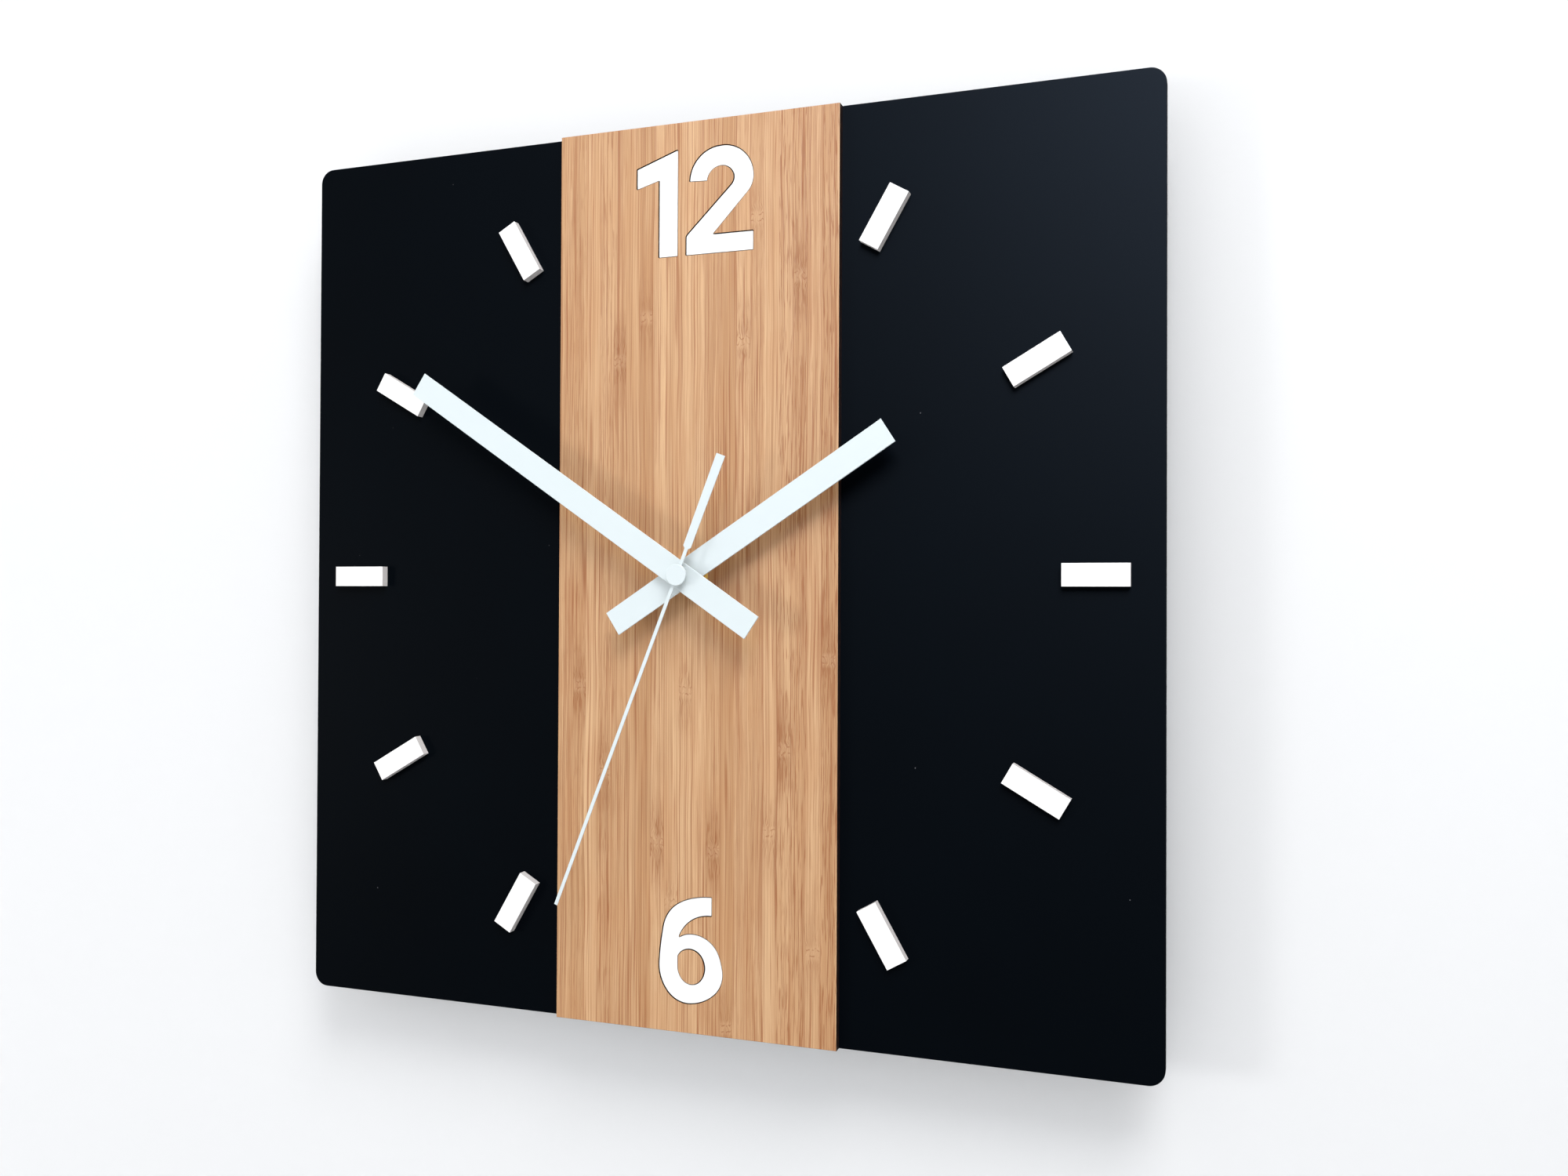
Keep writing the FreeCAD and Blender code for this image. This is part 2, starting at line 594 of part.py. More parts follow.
def coil_core():
    y0 = STATOR_Y + STATOR_THICK
    return block(CORE_LEFT, CORE_RIGHT, y0, y0 + 1.0, COIL_Z - CORE_HALF_HIGH, COIL_Z + CORE_HALF_HIGH)


def coil_bobbin(core):
    barrel = rod_x(COIL_BARREL, COIL_LEFT, COIL_RIGHT, COIL_Y, COIL_Z)
    ends = [rod_x(COIL_FLANGE, x, x + COIL_FLANGE_THICK, COIL_Y, COIL_Z)
            for x in (COIL_LEFT, COIL_RIGHT - COIL_FLANGE_THICK)]
    return joined(barrel, *ends).cut(core)


def coil_winding():
    x0, x1 = COIL_LEFT + COIL_FLANGE_THICK, COIL_RIGHT - COIL_FLANGE_THICK
    return rod_x(COIL_WOUND, x0, x1, COIL_Y, COIL_Z).cut(rod_x(COIL_BARREL, x0, x1, COIL_Y, COIL_Z))


def coil_leads():
    """The winding's two ends, soldered under the circuit board."""
    depth = BOARD_Y - LEAD_RADIUS
    return Part.Compound([rod_x(LEAD_RADIUS, COIL_RIGHT, LEADS_END, depth, z) for z in LEADS_Z])


def circuit_board():
    return prism(BOARD_OUTLINE, BOARD_Y, STRAP_Y)


def contact_leaf(spring):
    """The negative contact's bowed leaf, touching the end of the cell."""
    reach = CELL_BODY_LEFT - PIVOT_RUN
    outer = [(spring, LEAF_LOW), (reach, CELL_Z), (spring, LEAF_TOP)]
    inner = [(spring, LEAF_TOP - LEAF_FOOT), (reach - CONTACT_THICK, CELL_Z),
             (spring, LEAF_LOW + LEAF_FOOT)]
    curves = []
    for arc in (outer, inner):
        points = [FreeCAD.Vector(x, LEAF_FRONT, z) for x, z in arc]
        curves.append(Part.Arc(*points).toShape())
    for z0, z1 in ((LEAF_TOP, LEAF_TOP - LEAF_FOOT), (LEAF_LOW + LEAF_FOOT, LEAF_LOW)):
        start, end = [FreeCAD.Vector(spring, LEAF_FRONT, z) for z in (z0, z1)]
        curves.append(Part.makeLine(start, end))
    face = Part.Face(Part.Wire(Part.__sortEdges__(curves)))
    return face.extrude(FreeCAD.Vector(0, LEAF_DEEP, 0))


def battery_contact(side):
    """A bent strip from the end of the bay, through the case's slot, onto the board."""
    wall = side * BAY_HALF
    spring = side * (BAY_HALF - CONTACT_THICK)
    strap = side * (BAY_HALF - 2 * CONTACT_THICK)
    tab_back = STRAP_Y + CONTACT_THICK

    def along(a, b, y0, y1, z0, z1):
        return block(min(a, b), max(a, b), y0, y1, z0, z1)

    pieces = [along(spring, wall, SPRING_FRONT, SPRING_BACK, SPRING_LOW, SPRING_TOP),
              along(strap, spring, STRAP_FRONT, tab_back, STRAP_LOW, STRAP_TOP),
              along(TAB_ENDS[side], spring, STRAP_Y, tab_back, TAB_LOW, STRAP_TOP)]
    if side > 0:
        touch = rod_x(BUTTON_RADIUS, CELL_NUB_RIGHT + PIVOT_RUN, spring, CELL_Y, CELL_Z)
    else:
        touch = contact_leaf(spring)
    return joined(*pieces, touch)


def aa_battery():
    body = rod_x(CELL_RADIUS, CELL_BODY_LEFT, CELL_BODY_RIGHT, CELL_Y, CELL_Z)
    body = body.makeFillet(CELL_ROUND, [e for e in body.Edges if e.Closed])
    nub = rod_x(CELL_NUB, CELL_BODY_RIGHT, CELL_NUB_RIGHT, CELL_Y, CELL_Z)
    return joined(body, nub)


# ---------------------------------------------------------------- wheels
def arbor(centre, *parts):
    """Coaxial lengths of shaft, each (radius, start, end)."""
    return [rod(radius, y0, y1, centre) for radius, y0, y1 in parts]


def rotor_pinion(phase):
    leaves = gear(ROTOR_TEETH, ROTOR_MODULE, ROTOR_LEAVES_Y, ROTOR_LEAVES_END, phase, ROTOR)
    shaft = arbor(ROTOR, (PIVOT, ROTOR_PIVOT_Y, PIVOT_END),
                  (MAGNET_BORE, ROTOR_SHOULDER_Y, ROTOR_LEAVES_Y))
    return joined(leaves, *shaft)


def compound_wheel(centre, wheel, leaves, shaft):
    """A wheel and its pinion, moulded in one on a shaft; each gear is (teeth, module, y0, y1, phase)."""
    discs = [gear(*each, centre) for each in (wheel, leaves)]
    return joined(*discs, *arbor(centre, *shaft))


def setting_knob():
    """Round knob with a finger groove, pressed on its arbor."""
    knob = rod(KNOB_RADIUS, KNOB_FRONT, KNOB_BACK, SETTING)
    knob = knob.makeFillet(KNOB_ROUND, edges_at_y(knob, KNOB_BACK))
    flutes = []
    for flute in range(FLUTES):
        centre = polar(KNOB_RADIUS + FLUTE_OUT, 360 * flute / FLUTES, SETTING)
        flutes.append(rod(FLUTE_RADIUS, KNOB_FRONT, KNOB_BACK, centre))
    along, across = KNOB_GROOVE_LONG / 2, KNOB_GROOVE_WIDE / 2
    groove = block(SETTING[0] - along, SETTING[0] + along, KNOB_BACK - KNOB_GROOVE_DEEP, KNOB_BACK,
                   SETTING[1] - across, SETTING[1] + across)
    return cut(knob, rod(SETTING_ARBOR, KNOB_FRONT, KNOB_BACK - KNOB_SKIN, SETTING), groove, *flutes)


# ---------------------------------------------------------------- hanger and spacers
def hanger_plate():
    y0, y1 = CASE_BACK, WALL
    eye = (0, KEYHOLE_Z)
    plate = joined(block(-HANGER_HALF, HANGER_HALF, y0, y1, HANGER_LOW, KEYHOLE_Z),
                   rod(HANGER_HALF, y0, y1, eye))
    seat = KEYHOLE_Z + NAIL_SLOT_RISE
    holes = [rod(KEYHOLE_RADIUS, y0, y1, eye), rod(NAIL_SLOT_HALF, y0, y1, (0, seat)),
             block(-NAIL_SLOT_HALF, NAIL_SLOT_HALF, y0, y1, KEYHOLE_Z, seat)]
    holes += [rod(STUD_RADIUS, y0, y1, stud) for stud in HANGER_STUDS]
    return cut(plate, *holes)


def wall_spacer(side):
    place = PLATE_SIZE / 2 - SPACER_FROM_EDGE
    spacer = rod(SPACER_RADIUS, PLATE_BACK, WALL, (side * place, -place))
    return spacer.makeFillet(SPACER_ROUND, edges_at_y(spacer, WALL))


# ---------------------------------------------------------------- build
def make_dial():
    one, two, six, island = numeral_one(), numeral_two(), numeral_six(), six_counter()
    save("face_panel", face_panel())
    save("bamboo_strip", bamboo_strip([through_strip(face) for face in (one, two, six)]))
    save("six_counter", through_strip(island))
    save("numeral_one", inlay(one))
    save("numeral_two", inlay(two))
    around_island = through_strip(island.makeOffset2D(KERF))
    save("numeral_six", inlay(six).cut(around_island))
    for hour in MARKER_HOURS:
        save("hour_marker_%02d" % hour, hour_marker(hour))


def make_hands():
    hour = baton(HOUR_REACH, HOUR_TAIL, HAND_WIDE, HOUR_HAND_FRONT, HAND_THICK, HOUR_PIPE)
    minute = baton(MINUTE_REACH, MINUTE_TAIL, HAND_WIDE, MINUTE_HAND_FRONT, HAND_THICK, MINUTE_PIPE)
    save("hour_hand", turned(hour, HOUR_AT))
    save("minute_hand", turned(minute, MINUTE_AT))
    save("second_hand", turned(second_hand(), SECOND_AT))
    save("hour_collet", collet(HOUR_PIPE, HOUR_HAND_FRONT + HAND_THICK, HOUR_COLLET_BACK))
    save("minute_collet", collet(MINUTE_PIPE, MINUTE_HAND_FRONT + HAND_THICK, MINUTE_COLLET_BACK))
    save("second_hub", collet(SECOND_ARBOR, SECOND_HAND_FRONT + SECOND_THICK, SECOND_HUB_BACK))
    save("second_cap", second_cap())


def make_shaft_fixings():
    save("threaded_bush", threaded_bush())
    save("hex_nut", hex_nut())
    save("brass_washer", brass_washer())
    save("rubber_gasket", tube(GASKET_RADIUS, SHAFT_HOLE, PLATE_BACK, COVER_FRONT))


def make_train():
    """Every wheel, each turned so that its teeth stand in the gaps of the one before."""
    second_phase, leaf_phase = 0.0, 0.0
    on_second = meshing_phase(SECOND_TEETH, second_phase, INTERMEDIATE_LEAVES, INTERMEDIATE_WAY)
    on_intermediate = meshing_phase(INTERMEDIATE_TEETH, 0.0, ROTOR_TEETH, ROTOR_WAY)
    third_phase = meshing_phase(SECOND_LEAVES, leaf_phase, THIRD_TEETH, THIRD_WAY)
    minute_phase = meshing_phase(THIRD_LEAVES, 0.0, MINUTE_TEETH, THIRD_WAY + 180)
    reverse_phase = meshing_phase(MINUTE_LEAVES, 0.0, REVERSE_TEETH, MOTION_WAY)
    hour_phase = meshing_phase(REVERSE_LEAVES, 0.0, HOUR_TEETH, MOTION_WAY + 180)
    setting_phase = meshing_phase(REVERSE_TEETH, reverse_phase, SETTING_TEETH, MOTION_WAY)

    save("rotor_magnet", tube(MAGNET_RADIUS, MAGNET_BORE, MAGNET_Y, MAGNET_END, ROTOR))
    save("rotor_pinion", rotor_pinion(on_intermediate))
    save("intermediate_wheel", compound_wheel(
        INTERMEDIATE,
        (INTERMEDIATE_TEETH, ROTOR_MODULE, INTERMEDIATE_WHEEL_Y, INTERMEDIATE_WHEEL_Y + WHEEL_THICK, 0.0),
        (INTERMEDIATE_LEAVES, SECOND_MODULE, INTERMEDIATE_LEAVES_Y, INTERMEDIATE_WHEEL_Y, on_second),
        [(PIVOT, INTERMEDIATE_PIVOT_Y, PIVOT_END)]))
    second = compound_wheel(
        SHAFT,
        (SECOND_TEETH, SECOND_MODULE, SECOND_WHEEL_Y, SECOND_WHEEL_Y + WHEEL_THICK, second_phase),
        (SECOND_LEAVES, THIRD_MODULE, SECOND_LEAVES_Y, SECOND_WHEEL_Y, leaf_phase),
        [(HUB, SECOND_WHEEL_Y, BRIDGE_Y - HUB_PLAY)])
    save("second_wheel", second.cut(rod(SECOND_ARBOR, SECOND_LEAVES_Y, BRIDGE_Y)))
    save("second_arbor", rod(SECOND_ARBOR, CAP_FRONT + CAP_FLOOR, PIVOT_END))
    save("third_wheel", compound_wheel(
        THIRD,
        (THIRD_TEETH, THIRD_MODULE, THIRD_WHEEL_Y, THIRD_WHEEL_Y + WHEEL_THICK, third_phase),
        (THIRD_LEAVES, MINUTE_MODULE, THIRD_LEAVES_Y, THIRD_WHEEL_Y, 0.0),
        [(PIVOT, THIRD_PIVOT_Y, PIVOT_END)]))
    clutch = gear(MINUTE_TEETH, MINUTE_MODULE, MINUTE_WHEEL_Y, MINUTE_WHEEL_Y + WHEEL_THICK, minute_phase)
    save("minute_wheel", clutch.cut(rod(MINUTE_PIPE, MINUTE_WHEEL_Y, MINUTE_WHEEL_Y + WHEEL_THICK)))
    pipe = joined(rod(MINUTE_PIPE, MINUTE_PIPE_FRONT, SECOND_LEAVES_Y - PIPE_PLAY),
                  gear(MINUTE_LEAVES, MOTION_MODULE, MINUTE_LEAVES_Y, MINUTE_LEAVES_END, 0.0))
    save("minute_pipe", pipe.cut(rod(MINUTE_BORE, MINUTE_PIPE_FRONT, SECOND_LEAVES_Y)))
    reverse = compound_wheel(
        REVERSE,
        (REVERSE_TEETH, MOTION_MODULE, REVERSE_WHEEL_Y, REVERSE_WHEEL_Y + WHEEL_THICK, reverse_phase),
        (REVERSE_LEAVES, MOTION_MODULE, HOUR_WHEEL_Y, REVERSE_WHEEL_Y, 0.0), [])
    save("reverse_wheel", reverse.cut(rod(REVERSE_STUB + PIVOT_RUN, COVER_BACK, MINUTE_WHEEL_Y, REVERSE)))
    hour_wheel_back = HOUR_WHEEL_Y + HOUR_WHEEL_THICK
    hour = joined(rod(HOUR_PIPE, HOUR_PIPE_FRONT, hour_wheel_back),
                  gear(HOUR_TEETH, MOTION_MODULE, HOUR_WHEEL_Y, hour_wheel_back, hour_phase))
    save("hour_wheel", hour.cut(rod(HOUR_BORE, HOUR_PIPE_FRONT, MINUTE_LEAVES_Y)))
    leaves = gear(SETTING_TEETH, MOTION_MODULE, MINUTE_LEAVES_Y, SETTING_LEAVES_END, setting_phase,
                  SETTING)
    shaft = rod(SETTING_ARBOR, SETTING_ARBOR_Y, KNOB_BACK - KNOB_SKIN, SETTING)
    save("setting_arbor", joined(leaves, shaft))
    save("setting_knob", setting_knob())


def make_movement():
    core = coil_core()
    save("movement_cover", movement_cover())
    save("movement_case", movement_case())
    save("main_plate", main_plate())
    save("train_bridge", train_bridge())
    save("stator", stator())
    save("coil_core", core)
    save("coil_bobbin", coil_bobbin(core))
    save("coil_winding", coil_winding())
    save("coil_leads", coil_leads())
    save("circuit_board", circuit_board())
    save("clock_chip", rod(CHIP_RADIUS, STRAP_Y, STRAP_Y + CHIP_THICK, CHIP_AT))
    save("quartz_crystal", rod_x(CRYSTAL_RADIUS, CRYSTAL_LEFT, CRYSTAL_RIGHT,
                                 STRAP_Y + CRYSTAL_RADIUS, CRYSTAL_Z))
    save("tuning_capacitor", block(CAPACITOR_LEFT, CAPACITOR_RIGHT, STRAP_Y,
                                   STRAP_Y + CAPACITOR_THICK, CAPACITOR_LOW, CAPACITOR_TOP))
    save("battery_contact_positive", battery_contact(1))
    save("battery_contact_negative", battery_contact(-1))
    save("aa_battery", aa_battery())
    save("hanger_plate", hanger_plate())
    save("wall_spacers", Part.Compound([wall_spacer(side) for side in (-1, 1)]))


os.makedirs("parts", exist_ok=True)
make_dial()
make_hands()
make_shaft_fixings()
make_train()
make_movement()
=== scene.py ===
"""Looks of the square wall clock: materials, a few moulded details, camera and light.

Everything is in metres in the part's own frame: +X right, +Y into the wall, +Z up. The
material functions work in millimetres on the dial, measured from the hands' shaft.
"""
import json
import math
import bmesh
import bpy
from mathutils import Matrix, Vector


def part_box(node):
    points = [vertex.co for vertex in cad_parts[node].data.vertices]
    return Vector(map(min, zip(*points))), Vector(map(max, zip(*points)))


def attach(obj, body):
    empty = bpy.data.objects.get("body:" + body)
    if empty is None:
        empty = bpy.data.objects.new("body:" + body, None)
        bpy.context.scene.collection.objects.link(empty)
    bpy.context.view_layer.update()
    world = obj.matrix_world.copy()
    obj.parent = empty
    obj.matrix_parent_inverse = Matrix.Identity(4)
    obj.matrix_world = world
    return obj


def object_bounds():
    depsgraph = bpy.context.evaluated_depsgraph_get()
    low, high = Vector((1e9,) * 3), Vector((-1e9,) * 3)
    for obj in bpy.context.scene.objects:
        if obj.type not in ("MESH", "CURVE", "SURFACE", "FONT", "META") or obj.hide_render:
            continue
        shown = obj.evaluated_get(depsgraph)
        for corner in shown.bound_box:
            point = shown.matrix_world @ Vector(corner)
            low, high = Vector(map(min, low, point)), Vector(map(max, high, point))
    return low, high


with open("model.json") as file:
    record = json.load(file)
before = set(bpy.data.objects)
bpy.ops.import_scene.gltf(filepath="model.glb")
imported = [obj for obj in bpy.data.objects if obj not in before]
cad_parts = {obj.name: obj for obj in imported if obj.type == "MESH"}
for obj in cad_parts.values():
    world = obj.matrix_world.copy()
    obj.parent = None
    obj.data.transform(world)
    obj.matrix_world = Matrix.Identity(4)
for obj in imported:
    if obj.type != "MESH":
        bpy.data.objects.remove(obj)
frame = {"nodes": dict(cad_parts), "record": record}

cad_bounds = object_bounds()

MM = 0.001
NODES = frame["nodes"]
panel_low, panel_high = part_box("face_panel")
cap_low, cap_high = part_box("second_cap")
hanger_low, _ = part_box("hanger_plate")
knob_low, knob_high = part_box("setting_knob")
cell_low, cell_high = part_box("aa_battery")

# the middle of the dial's front face, the wall's plane at the clock's back, and how thick
# the dial board is
DIAL = Vector(((cap_low.x + cap_high.x) / 2, panel_low.y, (cap_low.z + cap_high.z) / 2))
WALL_Y = cad_bounds[1].y
BOARD_MM = (panel_high.y - panel_low.y) / MM


# ---------------------------------------------------------------- node helpers
class Graph:
    """Short forms for building one material's nodes. Values may be sockets or numbers."""

    def __init__(self, name):
        self.material = bpy.data.materials.new(name)
        self.material.use_nodes = True
        self.tree = self.material.node_tree
        self.tree.nodes.clear()
        self.shader = self.add("ShaderNodeBsdfPrincipled")
        self.output = self.add("ShaderNodeOutputMaterial")
        self.tree.links.new(self.shader.outputs[0], self.output.inputs["Surface"])

    def add(self, kind, **settings):
        node = self.tree.nodes.new(kind)
        for key, value in settings.items():
            setattr(node, key, value)
        return node

    def put(self, socket, value):
        if isinstance(value, bpy.types.NodeSocket):
            self.tree.links.new(value, socket)
        elif hasattr(value, "__len__") and socket.type == "RGBA":
            socket.default_value = (*value[:3], 1.0)
        else:
            socket.default_value = value

    def set(self, **inputs):
        """Shader inputs by name, with _ for a space."""
        for name, value in inputs.items():
            self.put(self.shader.inputs[name.replace("_", " ")], value)

    def math(self, operation, *values):
        node = self.add("ShaderNodeMath", operation=operation)
        for socket, value in zip(node.inputs, values):
            self.put(socket, value)
        return node.outputs[0]

    def times(self, a, b):
        return self.math("MULTIPLY", a, b)

    def plus(self, a, b):
        return self.math("ADD", a, b)

    def ramp(self, value, low, high, to_low=0.0, to_high=1.0):
        """Smooth step of a value from low to high."""
        node = self.add("ShaderNodeMapRange", interpolation_type="SMOOTHSTEP")
        for socket, v in zip(node.inputs, (value, low, high, to_low, to_high)):
            self.put(socket, v)
        return node.outputs[0]

    def mix(self, factor, a, b):
        node = self.add("ShaderNodeMix", data_type="RGBA")
        for socket, value in zip([node.inputs[i] for i in (0, 6, 7)], (factor, a, b)):
            self.put(socket, value)
        return node.outputs[2]

    def vector(self, x, y, z):
        node = self.add("ShaderNodeCombineXYZ")
        for socket, value in zip(node.inputs, (x, y, z)):
            self.put(socket, value)
        return node.outputs[0]

    def place(self):
        """Object position as three sockets: x, y and z in millimetres from the dial's centre."""
        where = self.add("ShaderNodeTexCoord").outputs["Object"]
        moved = self.add("ShaderNodeVectorMath", operation="SUBTRACT")
        self.put(moved.inputs[0], where)
        self.put(moved.inputs[1], DIAL)
        scaled = self.add("ShaderNodeVectorMath", operation="SCALE")
        self.put(scaled.inputs[0], moved.outputs[0])
        self.put(scaled.inputs["Scale"], 1 / MM)
        split = self.add("ShaderNodeSeparateXYZ")
        self.put(split.inputs[0], scaled.outputs[0])
        return split.outputs

    def cut_side(self):
        """1 on the sides of a sheet that lies on the dial, 0 on its flat faces."""
        split = self.add("ShaderNodeSeparateXYZ")
        self.put(split.inputs[0], self.add("ShaderNodeTexCoord").outputs["Normal"])
        return self.ramp(self.math("ABSOLUTE", split.outputs["Y"]), 0.80, 0.45)

    def noise(self, where, scale=1.0, detail=2.0, rough=0.5):
        node = self.add("ShaderNodeTexNoise")
        inputs = {"Vector": where, "Scale": scale, "Detail": detail, "Roughness": rough}
        for name, value in inputs.items():
            self.put(node.inputs[name], value)
        return node.outputs[0]

    def random(self, value):
        node = self.add("ShaderNodeTexWhiteNoise", noise_dimensions="1D")
        self.put(node.inputs["W"], value)
        return node.outputs[0]

    def specks(self, where, scale, size):
        """Sparse dots: 1 inside a dot and 0 outside."""
        cells = self.add("ShaderNodeTexVoronoi")
        self.put(cells.inputs["Vector"], where)
        self.put(cells.inputs["Scale"], scale)
        return self.ramp(cells.outputs["Distance"], size, size * 0.4)

    def bump(self, height, distance_mm, strength):
        node = self.add("ShaderNodeBump")
        for name, value in (("Height", height), ("Distance", distance_mm * MM), ("Strength", strength)):
            self.put(node.inputs[name], value)
        self.put(self.shader.inputs["Normal"], node.outputs[0])


# ---------------------------------------------------------------- bamboo
# lengths in millimetres and waves per millimetre, on the dial
SLAT_WIDE = 4.9
SLAT_ORIGIN = -53.0           # left side of the first slat
SLAT_SEED = 30.0
HEIGHT_SPAN = 400.0           # heights are kept in the table as shares of this span
SWAY_WIDE, SWAY_ACROSS, SWAY_ALONG = 1.6, 0.05, 0.02
SEAM_FROM, SEAM_TO = 0.465, 0.492         # slat widths from the slat's middle
INSIDE_FROM, INSIDE_TO = 0.50, 0.40
KNUCKLE_OUTER, KNUCKLE_INNER = 3.0, 1.2
STAIN_OUTER, STAIN_INNER = 20.0, 3.0
WEAVE_WIDE, WEAVE_ACROSS, WEAVE_ALONG = 2.4, 0.50, 0.30
WEAVE_OUTER, WEAVE_INNER = 8.0, 0.5
TICKS = ((0.9, 0.0), (-1.1, 9.0))         # below the knuckle's middle, and seed
TICK_OUTER, TICK_INNER, TICK_ACROSS, TICK_SEED = 0.32, 0.08, 0.6, 2.0
WOBBLE_HIGH, WOBBLE_ACROSS, WOBBLE_SEED = 4.0, 0.7, 5.0

# each slat from left to right: its knuckle's height from the dial's centre, the knuckle's
# strength, and how flecked the slat is; a knuckle past the board's ends doesn't show
KNUCKLES = (
    (168, 0.3, 0.2), (176, 0.5, 0.3), (-37, 1.0, 0.5), (190, 0.2, 0.0), (-66, 0.7, 0.6),
    (72, 1.0, 0.3), (180, 0.2, 0.0), (86, 0.4, 0.1), (-88, 0.9, 0.2), (-108, 0.3, 0.0),
    (-38, 0.5, 0.1), (188, 0.2, 0.2), (-90, 1.0, 0.3), (-147, 0.5, 0.0), (76, 0.8, 0.3),
    (116, 0.4, 0.4), (-83, 0.6, 0.1), (-56, 1.0, 0.9), (96, 0.9, 0.9), (-120, 0.4, 0.3),
    (-27, 0.9, 1.0), (60, 0.5, 1.0))

# layers of the grain: waves across and along the slat, seed and detail of their noise, and
# the two noise values between which the layer comes up
GRAIN = {
    "broad": (0.22, 0.004, 3.0, 2.0, 0.35, 0.65),
    "fibre": (2.1, 0.007, 11.0, 2.0, 0.44, 0.66),
    "fine": (5.0, 0.030, 23.0, 2.0, 0.44, 0.66),
    "mottle": (0.16, 0.030, 91.0, 3.0, 0.40, 0.68),
    "dashes": (2.4, 0.085, 41.0, 2.0, 0.54, 0.62),
    "stained_dashes": (2.2, 0.15, 43.0, 1.0, 0.50, 0.60),
    "broken_seam": (0.1, 0.01, 83.0, 1.0, 0.45, 0.55),
}

# thin lines along the slat: waves across and along, seed and half width, in units of their
# noise, and then the layer of the grain that says where they show
THREADS = {
    "lines": (0.60, 0.003, 31.0, 0.032, (0.4, 0.015, 37.0, 1.0, 0.42, 0.58)),
    "more_lines": (1.05, 0.004, 71.0, 0.045, (0.5, 0.02, 79.0, 1.0, 0.46, 0.60)),
    "pale": (0.42, 0.004, 53.0, 0.055, (0.4, 0.02, 59.0, 1.0, 0.45, 0.60)),
}


def knuckle_table(g, slat):
    """Each slat's knuckle height, knuckle strength and flecks, by the slat's number."""
    table = g.add("ShaderNodeValToRGB")
    stops = table.color_ramp.elements
    table.color_ramp.interpolation = "CONSTANT"
    for number, (height, strength, flecks) in enumerate(KNUCKLES):
        stop = stops.new(number / len(KNUCKLES)) if number else stops[0]
        stop.color = (height / HEIGHT_SPAN + 0.5, strength, flecks, 1.0)
    stops.remove(stops[-1])
    g.put(table.inputs[0], g.math("DIVIDE", g.plus(slat, 0.5), float(len(KNUCKLES))))
    found = g.add("ShaderNodeSeparateColor")
    g.put(found.inputs[0], table.outputs[0])
    height, strength, flecks = found.outputs[:3]
    return g.times(g.plus(height, -0.5), HEIGHT_SPAN), strength, flecks


def knuckle_ticks(g, x, from_knuckle):
    """Dark broken ticks across the slat, near the middle of its knuckle."""
    swing = g.noise(g.vector(g.times(x, WOBBLE_ACROSS), 0.0, WOBBLE_SEED), detail=1.0)
    wobble = g.times(g.plus(swing, -0.5), WOBBLE_HIGH)
    ticks = []
    for below, seed in TICKS:
        along = g.math("ABSOLUTE", g.plus(g.plus(from_knuckle, wobble), below))
        pattern = g.noise(g.vector(g.times(x, TICK_ACROSS), seed, TICK_SEED), detail=1.0)
        broken = g.ramp(pattern, 0.45, 0.55)
        ticks.append(g.times(g.ramp(along, TICK_OUTER, TICK_INNER), broken))
    return g.math("MAXIMUM", *ticks)


